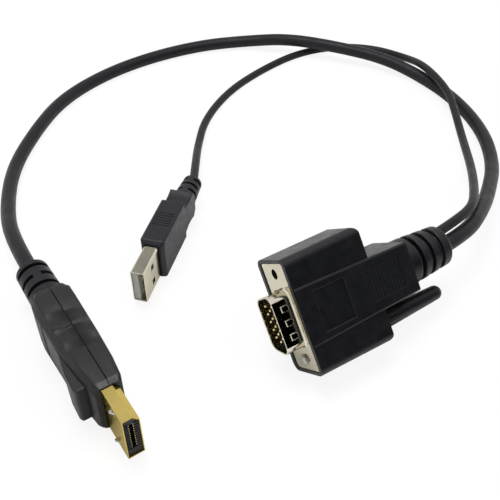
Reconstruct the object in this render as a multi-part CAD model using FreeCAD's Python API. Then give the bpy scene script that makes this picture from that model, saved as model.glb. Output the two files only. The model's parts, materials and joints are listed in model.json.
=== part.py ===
import FreeCAD, Part
import math
import os

# Y cable lying on a table: a 15-pin D plug with two cords, the thick one to a latching display plug and
# the thin one to a flat data plug. Millimetres, +Z up, the table at z = 0.
# The D plug points along -Y with the middle of its box over the origin.
# Each plug is drawn in a frame of its own: its mating face looks along -Y, Y runs back along the plug,
# Z is the plug's broad direction and X its thin one. set_down() then turns it and lays it on the table.

# How the three plugs lie
DSUB_ROLL = 40.0              # lean of the D plug's broad direction from upright
VIDEO_FRONT_X = 6.7           # middle of the display plug's front edge on the table
VIDEO_FRONT_Y = -74.75
VIDEO_TURN = 91.0
DATA_FRONT_X = -40.35         # middle of the data plug's front edge on the table
DATA_FRONT_Y = -50.75
DATA_TURN = 43.0

# Clearances
FIT = 0.05                    # between pieces pressed or moulded together
RUN = 0.08                    # radial play of a turning pin or shank
FREE = 0.3                    # between pieces that move past each other
PAST = 1.0                    # how far a cut runs out past the face it opens

# D plug, shells
FLANGE_WIDTH = 31.2
FLANGE_DEPTH = 12.6
FLANGE_CORNER = 1.0
FLANGE_SHEET = 0.6
BACK_SHEET = 0.5
SKIRT_WIDE = 17.7             # outside, along its wide side
SKIRT_DEEP = 9.2
SKIRT_SLANT = 10.0            # degrees, each slanted side
SKIRT_CORNER = 2.6
SKIRT_LENGTH = 5.9
SKIRT_SHEET = 0.4
SKIRT_FOOT = 0.7              # rolled radius where the skirt leaves the flange
DIMPLE_COUNT = 3
DIMPLE_PITCH = 3.95
DIMPLE_WIDTH = 1.7
DIMPLE_LENGTH = 2.2
DIMPLE_FRONT = 3.7            # from the flange to the dimple's open end
DIMPLE_PROUD = 0.25
BACK_SKIRT_LENGTH = 4.5
BACK_SKIRT_WALL = 0.4
SCREW_EDGE = 3.105            # from each end of the flange to the middle of its screw hole

# D plug, insulator and pins
INSULATOR_PROUD = 0.6         # in front of the flange
INSULATOR_BACK = 6.4          # behind the flange's front face
PIN_D = 0.76
PIN_PITCH = 2.29
PIN_ROW_COUNT = 3
PIN_ROW_PITCH = 1.98
PIN_COUNT_IN_ROW = 5
PIN_RECESS = 0.7              # tip behind the skirt's rim
PIN_TAIL = 2.6                # behind the insulator

# D plug, hood
RIM_WIDE = 1.1                # rim beside the flange along its broad direction
RIM_DEEP = 1.8
RIM_PROUD = 0.3
HOOD_CORNER = 2.4
EAR_LENGTH = 24.4
EAR_SPREAD = 0.3              # how far each ear stands out more at its back than at its front
EAR_THIN = 0.3                # how much thinner each ear is at its back, per side
EAR_ROUND = 2.0               # outer back corner of each ear
STEP_PROUD = 0.4              # middle block above the ears
MIDDLE_WIDTH = 16.8
MIDDLE_WIDTH_BACK = 14.6
MIDDLE_LENGTH = 37.0
MIDDLE_CORNER = 0.8
LABEL_START = 5.0
LABEL_LENGTH = 10.0
LABEL_WIDTH = 11.6
LABEL_SINK = 0.4
GRIP_START = 21.0
GRIP_LENGTH = 12.3
GRIP_WIDTH = 9.0
GRIP_SINK = 0.15
GRIP_GROOVE_COUNT = 12
GRIP_GROOVE_DEPTH = 0.4
HOOD_LENGTH = 54.0            # flange face to the end of the strain relief
BOOT_BASE_D = 14.2
BOOT_END_D = 12.4
BOOT_CORE_D = 10.4
BOOT_GROOVE_COUNT = 3
BOOT_GROOVE_WIDTH = 1.5
BOOT_RING_WIDTH = 2.3
BOOT_END_COLLAR = 3.6

# Thumbscrew
SCREW_D = 2.85
SCREW_TIP = 1.0               # in front of the flange
KNOB_D = 6.2
KNOB_END_D = 4.4
KNOB_LENGTH = 24.1
KNOB_FLUTED = 12.0
KNOB_FLUTE_COUNT = 14
KNOB_FLUTE_DEPTH = 0.35
SHANK_IN_KNOB = 8.0

# Data plug
DATA_SHELL_WIDE = 12.0
DATA_SHELL_DEEP = 4.5
DATA_SHEET = 0.3
DATA_SHELL_CORNER = 0.6
DATA_EXPOSED = 12.0
DATA_BURIED = 5.0             # shell inside the moulding
DATA_WINDOW = 2.3
DATA_WINDOW_LENGTH = 2.2
DATA_WINDOW_FRONT = 5.4
DATA_WINDOW_PITCH = 5.8
TONGUE_DEEP = 1.84
TONGUE_FRONT = 0.5
TONGUE_BLOCK = 9.6            # where the tongue's full-depth block begins
DATA_CONTACT_WIDTH = 1.0
DATA_CONTACT_INNER = 1.0      # inner pair from the middle
DATA_CONTACT_INNER_FRONT = 2.2
DATA_CONTACT_OUTER = 3.5
DATA_CONTACT_OUTER_FRONT = 1.2
DATA_CONTACT_SHEET = 0.2
DATA_BODY_WIDE = 15.0
DATA_BODY_DEEP = 7.8
DATA_BODY_CORNER = 0.8
DATA_BEVEL = 1.2              # length of the sloping front
DATA_BEVEL_IN = 0.9
DATA_GRIP_END = 32.2
DATA_WAIST = 2.3              # drop from the grip to the waist
DATA_SCOOP = 0.8              # hollow of the waist below the heel
DATA_HEEL = 40.4              # back edge of the waist
DATA_HEEL_BEVEL = 1.8
DATA_BACK = 42.2
DATA_RIB_COUNT = 6
DATA_RIB_PITCH = 1.1
DATA_RIB_FIRST = 20.2
DATA_RIB_WIDTH = 0.5
DATA_RIB_DEPTH = 0.3
DATA_RIB_SPAN = 5.6
DATA_LENGTH = 52.5
DATA_BOOT_D = 7.7
DATA_BOOT_END_D = 6.4
DATA_BOOT_SLOT_COUNT = 3
DATA_BOOT_BRIDGE = 2.0

# Display plug
VIDEO_SHELL_WIDE = 16.1
VIDEO_SHELL_DEEP = 4.76
VIDEO_SHEET = 0.3
VIDEO_CHAMFER_WIDE = 1.9      # the keyed corner
VIDEO_CHAMFER_DEEP = 1.7
VIDEO_EXPOSED = 11.4
VIDEO_BURIED = 4.6
SLOT_LENGTH = 10.2
SLOT_DEEP = 1.6
SLOT_REACH = 7.5
VIDEO_FACE_SINK = 0.5         # insulator face behind the shell's edge
VIDEO_CONTACT_COUNT = 10           # on each side of the slot
VIDEO_CONTACT_PITCH = 1.0
VIDEO_CONTACT_WIDTH = 0.4
VIDEO_CONTACT_SHEET = 0.25
VIDEO_CONTACT_SINK = 0.2      # behind the slot's mouth
VIDEO_BODY_WIDE = 19.0
VIDEO_BACK = 50.4
VIDEO_LATCH_BEVEL = 2.2       # height of the long bevel along the latch half
VIDEO_ROUND = 1.0             # rounding of all edges along the covers
# Stations along the covers: y, how far the broad direction is drawn in there, then from the parting
# plane the depth of the plain half, of the latch half at its narrow face and of its broad face
VIDEO_STATIONS = [
    (VIDEO_EXPOSED, 1.1, 3.3, 3.0, 4.2),
    (12.8, 0.0, 3.8, 3.5, 4.7),
    (19.0, 0.0, 4.5, 4.3, 5.6),
    (29.0, 0.0, 4.9, 4.7, 6.5),
    (44.0, 0.0, 5.2, 5.2, 6.9),
    (48.0, 0.0, 5.2, 5.4, 6.5),
    (VIDEO_BACK, 0.6, 4.2, 4.5, 5.0)]
VIDEO_SCALLOP_COUNT = 3
VIDEO_SCALLOP_FIRST = 26.5
VIDEO_SCALLOP_PITCH = 6.0
VIDEO_SCALLOP_DEPTH = 0.45
VIDEO_SCALLOP_CREST = 0.08    # depth of the crests between the scallops
SEAM_WIDTH = 0.3
SEAM_DEPTH = 0.35
VIDEO_LENGTH = 69.0
VIDEO_BOOT_D = 10.6
VIDEO_BOOT_END_D = 10.0
VIDEO_BOOT_NECK_D = 6.8
VIDEO_BOOT_ANCHOR_D = 8.6
VIDEO_BOOT_ANCHOR = 2.4       # thickness of the collar held inside the covers
VIDEO_BOOT_NECK = 3.4
VIDEO_BOOT_SLOT_COUNT = 4
VIDEO_BOOT_BRIDGE = 2.4
BOOT_WALL = 0.8               # left round the cord behind the slots of a strain relief

# Latch and button of the display plug
BUTTON_FRONT = 15.4
BUTTON_BACK = 40.6
BUTTON_WIDE = 13.2
# Outer profile of the button from its back to its front: y and distance from the parting plane
BUTTON_PROFILE = [(BUTTON_BACK, 6.7), (28.7, 6.7), (21.8, 7.9), (16.6, 8.1), (BUTTON_FRONT, 7.6)]
BUTTON_SEAT = 4.2             # its inner face from the parting plane
BUTTON_FOOT_LENGTH = 2.4
BUTTON_PIVOT_D = 1.4
BUTTON_PIVOT_STUB = 0.8
BUTTON_PRESS = 1.4            # degrees
POCKET_FLOOR = 0.15           # from the parting plane to the floor of the latch arms' channels
LATCH_SHEET = 0.35
LATCH_ARM_WIDTH = 0.8
LATCH_ARM_OFFSET = 6.3
LATCH_PIVOT = 34.0
LATCH_TAIL = 2.0
HOOK_FRONT = 4.2
HOOK_LENGTH = 1.7
HOOK_PROUD = 0.8

# Cords
VIDEO_CORD_D = 5.0
DATA_CORD_D = 3.0
CORD_SPREAD = 4.4             # between the two cords' middles where they leave the D plug
CORD_RAISE = 0.8              # of the pair above the strain relief's axis
ARC_SHARE = 0.45              # share of the shorter run taken by a bend

# Worked out from the sizes above
SCREW_SPACING = FLANGE_WIDTH - 2 * SCREW_EDGE
SCREW_HOLE_D = SCREW_D + 2 * RUN
HOOD_WIDTH = FLANGE_WIDTH + 2 * RIM_WIDE
HOOD_DEPTH = FLANGE_DEPTH + 2 * RIM_DEEP
MIDDLE_DEPTH = HOOD_DEPTH + 2 * STEP_PROUD
FLANGE_Y = -(HOOD_LENGTH - SKIRT_LENGTH) / 2
LEAN = math.radians(DSUB_ROLL)
FRONT_HEIGHT = ((HOOD_WIDTH / 2 - HOOD_CORNER) * math.cos(LEAN)
                + (HOOD_DEPTH / 2 - HOOD_CORNER) * math.sin(LEAN) + HOOD_CORNER)
EARS_HEIGHT = FRONT_HEIGHT + EAR_SPREAD * math.cos(LEAN) - EAR_THIN * math.sin(LEAN)
DSUB_HEIGHT = max(FRONT_HEIGHT, EARS_HEIGHT)
VIDEO_HEIGHT = VIDEO_BODY_WIDE / 2
DATA_HEIGHT = DATA_BODY_WIDE / 2
FLANGE_STACK = FLANGE_SHEET + BACK_SHEET


def vec(x, y, z):
    return FreeCAD.Vector(x, y, z)


def rounded(corners, radius):
    """Closed wire through the corners, each turned by an arc of the radius."""
    starts = []
    mids = []
    ends = []
    for i, corner in enumerate(corners):
        back = (corners[i - 1] - corner).normalize()
        ahead = (corners[(i + 1) % len(corners)] - corner).normalize()
        half = back.getAngle(ahead) / 2
        inward = (back + ahead).normalize()
        starts.append(corner + back * (radius / math.tan(half)))
        ends.append(corner + ahead * (radius / math.tan(half)))
        mids.append(corner + inward * (radius / math.sin(half) - radius))
    edges = []
    for i in range(len(corners)):
        edges.append(Part.Arc(starts[i], mids[i], ends[i]).toShape())
        edges.append(Part.LineSegment(ends[i], starts[(i + 1) % len(corners)]).toShape())
    return Part.Wire(edges)


def polygon(corners):
    return Part.makePolygon(list(corners) + [corners[0]])


def oblong(y, wide, deep, corner):
    """Rounded oblong across the plug at depth y."""
    x = deep / 2
    z = wide / 2
    return rounded([vec(x, y, z), vec(x, y, -z), vec(-x, y, -z), vec(-x, y, z)], corner)


def extruded(wire, along):
    return Part.Face(wire).extrude(along)


def prism(y0, y1, wide, deep, corner):
    return extruded(oblong(y0, wide, deep, corner), vec(0, y1 - y0, 0))


def block(x0, x1, y0, y1, z0, z1):
    return Part.makeBox(x1 - x0, y1 - y0, z1 - z0, vec(x0, y0, z0))


def rod(radius, y0, y1, x=0.0, z=0.0):
    return Part.makeCylinder(radius, y1 - y0, vec(x, y0, z), vec(0, 1, 0))


def turned(profile):
    """Solid of revolution about the plug's own axis from (radius, y) corners."""
    face = Part.Face(polygon([vec(r, y, 0) for r, y in profile]))
    return face.revolve(vec(0, 0, 0), vec(0, 1, 0), 360)


def mirrored(shape, normal):
    return shape.mirror(vec(0, 0, 0), normal)


def set_down(shape, x, y, z, turn=0.0, roll=0.0):
    """Rolls a plug about its own axis, turns it on the table and lays it at its place."""
    placed = shape.copy()
    placed.rotate(vec(0, 0, 0), vec(0, 1, 0), -roll)
    placed.rotate(vec(0, 0, 0), vec(0, 0, 1), turn)
    placed.translate(vec(x, y, z))
    return placed


def d_outline(y, inset=0.0):
    """The D outline of the skirt, drawn in by the inset; its wide side looks along +X."""
    slant = math.radians(SKIRT_SLANT)
    x = SKIRT_DEEP / 2 - inset
    wide = SKIRT_WIDE / 2 - inset * (math.tan(slant) + 1 / math.cos(slant))
    narrow = wide - 2 * x * math.tan(slant)
    corners = [vec(x, y, wide), vec(x, y, -wide), vec(-x, y, -narrow), vec(-x, y, narrow)]
    return rounded(corners, SKIRT_CORNER - inset)


def d_solid(y0, y1, inset=0.0):
    return extruded(d_outline(y0, inset), vec(0, y1 - y0, 0))


def ring_grooves(first, count, pitch, width, outer, core):
    """Full ring grooves round the plug's axis, to cut from a strain relief."""
    cuts = []
    for i in range(count):
        y = first + i * pitch
        cuts.append(rod(outer, y, y + width).cut(rod(core, y, y + width)))
    return cuts


def ring_slots(first, count, pitch, width, outer, core, bridge):
    """Ring slots broken by two bridges each, a quarter turn on from slot to slot."""
    cuts = []
    for i, ring in enumerate(ring_grooves(first, count, pitch, width, outer, core)):
        y = first + i * pitch
        web = block(-outer, outer, y, y + width, -bridge / 2, bridge / 2)
        if i % 2 == 0:
            web.rotate(vec(0, 0, 0), vec(0, 1, 0), 90)
        cuts.append(ring.cut(web))
    return cuts


# D plug

def dsub_shell():
    """Flange with the drawn skirt, its rolled foot and three dimples on the wide side."""
    skirt = d_solid(-SKIRT_LENGTH, FLANGE_SHEET)
    shell = prism(0, FLANGE_SHEET, FLANGE_WIDTH, FLANGE_DEPTH, FLANGE_CORNER).fuse(skirt).removeSplitter()
    half_wide = SKIRT_WIDE / 2 + FIT
    near_skirt = block(-SKIRT_DEEP, SKIRT_DEEP / 2 + FIT, -FIT, FIT, -half_wide, half_wide)
    foot = [edge for edge in shell.Edges if near_skirt.BoundBox.isInside(edge.BoundBox)]
    shell = shell.makeFillet(SKIRT_FOOT, foot)
    face = SKIRT_DEEP / 2 - SKIRT_SHEET / 2
    closed_end = -DIMPLE_FRONT + DIMPLE_LENGTH
    round_r = DIMPLE_WIDTH / 2
    for i in range(DIMPLE_COUNT):
        z = (i - (DIMPLE_COUNT - 1) / 2) * DIMPLE_PITCH
        pad = block(face, SKIRT_DEEP / 2 + DIMPLE_PROUD, -DIMPLE_FRONT, closed_end - round_r,
                    z - round_r, z + round_r)
        end = Part.makeCylinder(round_r, SKIRT_SHEET / 2 + DIMPLE_PROUD,
                                vec(face, closed_end - round_r, z), vec(1, 0, 0))
        shell = shell.fuse(pad.fuse(end))
    shell = shell.cut(d_solid(-SKIRT_LENGTH - PAST, FLANGE_SHEET + PAST, SKIRT_SHEET))
    for side in (1, -1):
        shell = shell.cut(rod(SCREW_HOLE_D / 2, -PAST, FLANGE_STACK + PAST, 0, side * SCREW_SPACING / 2))
    return shell.removeSplitter()


def dsub_back_shell():
    """Plate against the flange with a collar round the insulator's back."""
    plate = prism(FLANGE_SHEET, FLANGE_STACK, FLANGE_WIDTH, FLANGE_DEPTH, FLANGE_CORNER)
    collar = d_solid(FLANGE_SHEET, FLANGE_SHEET + BACK_SKIRT_LENGTH)
    shell = plate.fuse(collar)
    shell = shell.cut(d_solid(0, FLANGE_SHEET + BACK_SKIRT_LENGTH + PAST, BACK_SKIRT_WALL))
    for side in (1, -1):
        shell = shell.cut(rod(SCREW_HOLE_D / 2, 0, FLANGE_STACK + PAST, 0, side * SCREW_SPACING / 2))
    return shell.removeSplitter()


def pin_places():
    """Middles of the pins as (x, z), neighbouring rows half a pitch apart."""
    places = []
    for row in range(PIN_ROW_COUNT):
        x = (row - (PIN_ROW_COUNT - 1) / 2) * PIN_ROW_PITCH
        shift = PIN_PITCH / 4 * (-1 if row % 2 else 1)
        for k in range(PIN_COUNT_IN_ROW):
            places.append((x, (k - (PIN_COUNT_IN_ROW - 1) / 2) * PIN_PITCH + shift))
    return places


def dsub_insulator():
    inset = max(SKIRT_SHEET, BACK_SKIRT_WALL) + FIT
    body = d_solid(-INSULATOR_PROUD, INSULATOR_BACK, inset)
    for x, z in pin_places():
        body = body.cut(rod(PIN_D / 2, -INSULATOR_PROUD, INSULATOR_BACK, x, z))
    return body


def dsub_pins():
    """Round-nosed pins, held by the insulator along its whole depth."""
    nose = PIN_D / 2
    tip = -SKIRT_LENGTH + PIN_RECESS
    pins = []
    for x, z in pin_places():
        pin = rod(nose, tip + nose, INSULATOR_BACK + PIN_TAIL, x, z)
        cap = Part.makeCone(nose / 2, nose, nose, vec(x, tip, z), vec(0, 1, 0))
        pins.append(pin.fuse(cap).removeSplitter())
    return Part.makeCompound(pins)


def hood_ears():
    """Both ears and the front rim as one tapering block with rounded outer back corners."""
    front = oblong(-RIM_PROUD, HOOD_WIDTH, HOOD_DEPTH, HOOD_CORNER)
    back = oblong(EAR_LENGTH, HOOD_WIDTH + 2 * EAR_SPREAD, HOOD_DEPTH - 2 * EAR_THIN, HOOD_CORNER)
    ears = Part.makeLoft([front, back], True, True)
    half_back = HOOD_WIDTH / 2 + EAR_SPREAD
    reach = HOOD_DEPTH
    for side in (1, -1):
        corner = block(-reach, reach, EAR_LENGTH - EAR_ROUND, EAR_LENGTH + PAST,
                       half_back - EAR_ROUND, half_back + EAR_ROUND)
        middle = vec(-reach, EAR_LENGTH - EAR_ROUND, half_back - EAR_ROUND)
        cut = corner.cut(Part.makeCylinder(EAR_ROUND, 2 * reach, middle, vec(1, 0, 0)))
        ears = ears.cut(cut if side > 0 else mirrored(cut, vec(0, 0, 1)))
    return ears


def hood_middle():
    """Raised block between the ears with a label recess and a grip patch on both broad faces."""
    front = oblong(0, MIDDLE_WIDTH, MIDDLE_DEPTH, MIDDLE_CORNER)
    back = oblong(MIDDLE_LENGTH, MIDDLE_WIDTH_BACK, MIDDLE_DEPTH, MIDDLE_CORNER)
    middle = Part.makeLoft([front, back], True, True)
    top = MIDDLE_DEPTH / 2
    pitch = GRIP_LENGTH / GRIP_GROOVE_COUNT
    land = pitch / 2
    half_grip = GRIP_WIDTH / 2
    cuts = [block(top - LABEL_SINK, top + PAST, LABEL_START, LABEL_START + LABEL_LENGTH,
                  -LABEL_WIDTH / 2, LABEL_WIDTH / 2),
            block(top - GRIP_SINK, top + PAST, GRIP_START, GRIP_START + GRIP_LENGTH, -half_grip, half_grip)]
    for i in range(GRIP_GROOVE_COUNT):
        y = GRIP_START + i * pitch + land / 2
        cuts.append(block(top - GRIP_SINK - GRIP_GROOVE_DEPTH, top, y, y + land, -half_grip, half_grip))
    for cut in cuts:
        middle = middle.cut(cut).cut(mirrored(cut, vec(1, 0, 0)))
    return middle


def hood_boot():
    """Strain relief of the hood: a tapering round with full ring grooves and a rounded end."""
    pitch = BOOT_GROOVE_WIDTH + BOOT_RING_WIDTH
    grooves_end = HOOD_LENGTH - BOOT_END_COLLAR
    first = grooves_end - BOOT_GROOVE_COUNT * pitch + BOOT_RING_WIDTH
    end_round = BOOT_END_COLLAR / 4
    profile = [(0, EAR_LENGTH), (BOOT_BASE_D / 2, EAR_LENGTH), (BOOT_BASE_D / 2, first),
               (BOOT_END_D / 2, HOOD_LENGTH - end_round), (BOOT_END_D / 2 - end_round, HOOD_LENGTH),
               (0, HOOD_LENGTH)]
    boot = turned(profile)
    for cut in ring_grooves(first, BOOT_GROOVE_COUNT, pitch, BOOT_GROOVE_WIDTH, BOOT_BASE_D,
                            BOOT_CORE_D / 2):
        boot = boot.cut(cut)
    return boot


def dsub_hood():
    hood = hood_ears().fuse(hood_middle()).fuse(hood_boot())
    pocket = prism(-RIM_PROUD - PAST, FLANGE_STACK + FIT, FLANGE_WIDTH + 2 * FIT, FLANGE_DEPTH + 2 * FIT,
                   FLANGE_CORNER)
    collar_end = max(FLANGE_SHEET + BACK_SKIRT_LENGTH, INSULATOR_BACK + PIN_TAIL) + FIT
    hood = hood.cut(pocket).cut(d_solid(0, collar_end, -FIT))
    for side in (1, -1):
        hood = hood.cut(rod(SCREW_HOLE_D / 2, 0, EAR_LENGTH + PAST, 0, side * SCREW_SPACING / 2))
    return hood.removeSplitter()


def thumbscrew_shank():
    tip = SCREW_D / 6
    end = EAR_LENGTH + FREE + SHANK_IN_KNOB
    shank = turned([(0, -SCREW_TIP), (SCREW_D / 2 - tip, -SCREW_TIP), (SCREW_D / 2, -SCREW_TIP + tip),
                    (SCREW_D / 2, end), (0, end)])
    shank.translate(vec(0, 0, -SCREW_SPACING / 2))
    return shank


def thumbscrew_knob():
    """Slim tapering knob behind the ear: fluted front half, plain back half with a rounded end."""
    start = EAR_LENGTH + FREE
    end = start + KNOB_LENGTH
    r = KNOB_D / 2
    r_end = KNOB_END_D / 2
    dome = Part.Arc(vec(r_end, end - r_end, 0), vec(r_end * math.sin(math.pi / 4),
                    end - r_end + r_end * math.cos(math.pi / 4), 0), vec(0, end, 0)).toShape()
    sides = [vec(0, end, 0), vec(0, start, 0), vec(r, start, 0), vec(r_end, end - r_end, 0)]
    edges = [dome] + [Part.LineSegment(a, b).toShape() for a, b in zip(sides, sides[1:])]
    knob = Part.Face(Part.Wire(edges)).revolve(vec(0, 0, 0), vec(0, 1, 0), 360)
    flute_r = math.pi * r / KNOB_FLUTE_COUNT / 2
    for i in range(KNOB_FLUTE_COUNT):
        angle = 2 * math.pi * i / KNOB_FLUTE_COUNT
        reach = r + flute_r - KNOB_FLUTE_DEPTH
        knob = knob.cut(rod(flute_r, start - PAST, start + KNOB_FLUTED, reach * math.sin(angle),
                            reach * math.cos(angle)))
    knob = knob.cut(rod(SCREW_D / 2, start - PAST, start + SHANK_IN_KNOB))
    knob.translate(vec(0, 0, -SCREW_SPACING / 2))
    return knob


# Data plug

def data_plug_shell():
    """Folded sheet box with two square windows in each broad face."""
    length = DATA_EXPOSED + DATA_BURIED
    shell = prism(0, length, DATA_SHELL_WIDE, DATA_SHELL_DEEP, DATA_SHELL_CORNER)
    shell = shell.cut(prism(-PAST, length + PAST, DATA_SHELL_WIDE - 2 * DATA_SHEET,
                            DATA_SHELL_DEEP - 2 * DATA_SHEET, DATA_SHELL_CORNER - DATA_SHEET))
    window_end = DATA_WINDOW_FRONT + DATA_WINDOW_LENGTH
    half = DATA_WINDOW / 2
    for z in (DATA_WINDOW_PITCH / 2, -DATA_WINDOW_PITCH / 2):
        shell = shell.cut(block(-DATA_SHELL_DEEP, DATA_SHELL_DEEP, DATA_WINDOW_FRONT, window_end,
                                z - half, z + half))
    return shell


def data_plug_tongue():
    """Pale tongue along one broad wall with a full-depth block at its back."""
    half_wide = DATA_SHELL_WIDE / 2 - DATA_SHEET - FIT
    wall = -DATA_SHELL_DEEP / 2 + DATA_SHEET + FIT
    length = DATA_EXPOSED + DATA_BURIED
    tongue = block(wall, wall + TONGUE_DEEP, TONGUE_FRONT, length, -half_wide, half_wide)
    back = block(wall, -wall, TONGUE_BLOCK, length, -half_wide, half_wide)
    return tongue.fuse(back).removeSplitter()


def data_plug_contacts():
    """Four strips on the tongue, the outer pair reaching nearer to its edge."""
    face = -DATA_SHELL_DEEP / 2 + DATA_SHEET + FIT + TONGUE_DEEP
    strips = []
    for z, front in ((DATA_CONTACT_OUTER, DATA_CONTACT_OUTER_FRONT),
                     (DATA_CONTACT_INNER, DATA_CONTACT_INNER_FRONT)):
        for side in (1, -1):
            strips.append(block(face, face + DATA_CONTACT_SHEET, TONGUE_FRONT + front, TONGUE_BLOCK,
                                side * z - DATA_CONTACT_WIDTH / 2, side * z + DATA_CONTACT_WIDTH / 2))
    return Part.makeCompound(strips)


def data_plug_body():
    """Over-moulding: sloping front, ribbed block, scooped waist, heel and slotted strain relief."""
    half = DATA_BODY_WIDE / 2
    waist = half - DATA_WAIST
    middle = (DATA_GRIP_END + DATA_HEEL) / 2
    scoop = [Part.Arc(vec(0, DATA_GRIP_END, waist), vec(0, middle, waist - DATA_SCOOP),
                      vec(0, DATA_HEEL, waist)).toShape()]
    top = [vec(0, DATA_HEEL, waist), vec(0, DATA_BACK, waist - DATA_HEEL_BEVEL), vec(0, DATA_BACK, 0),
           vec(0, DATA_EXPOSED, 0), vec(0, DATA_EXPOSED, half), vec(0, DATA_GRIP_END, half),
           vec(0, DATA_GRIP_END, waist)]
    edges = scoop + [Part.LineSegment(a, b).toShape() for a, b in zip(top, top[1:])]
    upper = Part.Face(Part.Wire(edges)).extrude(vec(DATA_BODY_DEEP, 0, 0))
    upper.translate(vec(-DATA_BODY_DEEP / 2, 0, 0))
    side_view = upper.fuse(mirrored(upper, vec(0, 0, 1)))
    nose = oblong(DATA_EXPOSED, DATA_BODY_WIDE - 2 * DATA_BEVEL_IN, DATA_BODY_DEEP - 2 * DATA_BEVEL_IN,
                  DATA_BODY_CORNER)
    full = oblong(DATA_EXPOSED + DATA_BEVEL, DATA_BODY_WIDE, DATA_BODY_DEEP, DATA_BODY_CORNER)
    sleeve = Part.makeLoft([nose, full], True, True)
    sleeve = sleeve.fuse(prism(DATA_EXPOSED + DATA_BEVEL, DATA_BACK, DATA_BODY_WIDE, DATA_BODY_DEEP,
                               DATA_BODY_CORNER))
    body = side_view.common(sleeve)
    end_round = DATA_BOOT_END_D / 8
    boot = turned([(0, DATA_HEEL), (DATA_BOOT_D / 2, DATA_HEEL), (DATA_BOOT_D / 2, DATA_BACK),
                   (DATA_BOOT_END_D / 2, DATA_LENGTH - end_round),
                   (DATA_BOOT_END_D / 2 - end_round, DATA_LENGTH), (0, DATA_LENGTH)])
    pitch = (DATA_LENGTH - DATA_BACK) / (DATA_BOOT_SLOT_COUNT + 0.5)
    for cut in ring_slots(DATA_BACK + pitch / 2, DATA_BOOT_SLOT_COUNT, pitch, pitch / 3, DATA_BOOT_D,
                          DATA_CORD_D / 2 + BOOT_WALL, DATA_BOOT_BRIDGE):
        boot = boot.cut(cut)
    body = body.fuse(boot)
    for i in range(DATA_RIB_COUNT):
        y = DATA_RIB_FIRST + i * DATA_RIB_PITCH
        groove = block(-DATA_RIB_SPAN / 2, DATA_RIB_SPAN / 2, y, y + DATA_RIB_WIDTH,
                       half - DATA_RIB_DEPTH, half + PAST)
        body = body.cut(groove).cut(mirrored(groove, vec(0, 0, 1)))
    pocket = prism(0, DATA_EXPOSED + DATA_BURIED + FIT, DATA_SHELL_WIDE + 2 * FIT,
                   DATA_SHELL_DEEP + 2 * FIT, DATA_SHELL_CORNER)
    return body.cut(pocket).removeSplitter()


# Display plug

def keyed_outline(y, inset):
    """The shell's outline with its one bevelled corner, drawn in by the inset."""
    x = VIDEO_SHELL_DEEP / 2 - inset
    z = VIDEO_SHELL_WIDE / 2 - inset
    return polygon([vec(-x, y, z), vec(x - VIDEO_CHAMFER_DEEP + inset / 2, y, z),
                    vec(x, y, z - VIDEO_CHAMFER_WIDE + inset / 2), vec(x, y, -z), vec(-x, y, -z)])


def keyed_solid(y0, y1, inset):
    return extruded(keyed_outline(y0, inset), vec(0, y1 - y0, 0))


def video_plug_shell():
    length = VIDEO_EXPOSED + VIDEO_BURIED
    shell = keyed_solid(0, length, 0).cut(keyed_solid(-PAST, length + PAST, VIDEO_SHEET))
    for side in (1, -1):
        z = side * LATCH_ARM_OFFSET
        half = LATCH_ARM_WIDTH / 2 + FREE
        shell = shell.cut(block(-VIDEO_SHELL_DEEP, 0, HOOK_FRONT - FREE, HOOK_FRONT + HOOK_LENGTH + FREE,
                                z - half, z + half))
    return shell


def video_plug_insulator():
    """Black block with the mating slot and two channels for the latch arms."""
    length = VIDEO_EXPOSED + VIDEO_BURIED
    body = keyed_solid(VIDEO_FACE_SINK, length, VIDEO_SHEET + FIT)
    body = body.cut(block(-SLOT_DEEP / 2, SLOT_DEEP / 2, 0, VIDEO_FACE_SINK + SLOT_REACH,
                          -SLOT_LENGTH / 2, SLOT_LENGTH / 2))
    half = LATCH_ARM_WIDTH / 2 + FREE
    for side in (1, -1):
        z = side * LATCH_ARM_OFFSET
        body = body.cut(block(-VIDEO_SHELL_DEEP, -POCKET_FLOOR, HOOK_FRONT - 2 * FREE, length + PAST,
                              z - half, z + half))
    return body


def video_plug_contacts():
    """Strips along both walls of the slot, from just behind its mouth to its end."""
    half = VIDEO_CONTACT_WIDTH / 2
    wall = SLOT_DEEP / 2
    strips = []
    for x0, x1 in ((wall - VIDEO_CONTACT_SHEET, wall), (-wall, VIDEO_CONTACT_SHEET - wall)):
        for i in range(VIDEO_CONTACT_COUNT):
            z = (i - (VIDEO_CONTACT_COUNT - 1) / 2) * VIDEO_CONTACT_PITCH
            strips.append(block(x0, x1, VIDEO_FACE_SINK + VIDEO_CONTACT_SINK, VIDEO_FACE_SINK + SLOT_REACH,
                                z - half, z + half))
    return Part.makeCompound(strips)


def covers_section(station):
    """Rounded section of both covers together at a station, with the latch half's long bevels."""
    y, drawn_in, plain, latch_edge, latch = station
    z = VIDEO_BODY_WIDE / 2 - drawn_in
    shoulder = z - VIDEO_LATCH_BEVEL
    return rounded([vec(plain, y, z), vec(plain, y, -z), vec(-latch_edge, y, -z), vec(-latch, y, -shoulder),
                    vec(-latch, y, shoulder), vec(-latch_edge, y, z)], VIDEO_ROUND)


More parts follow.
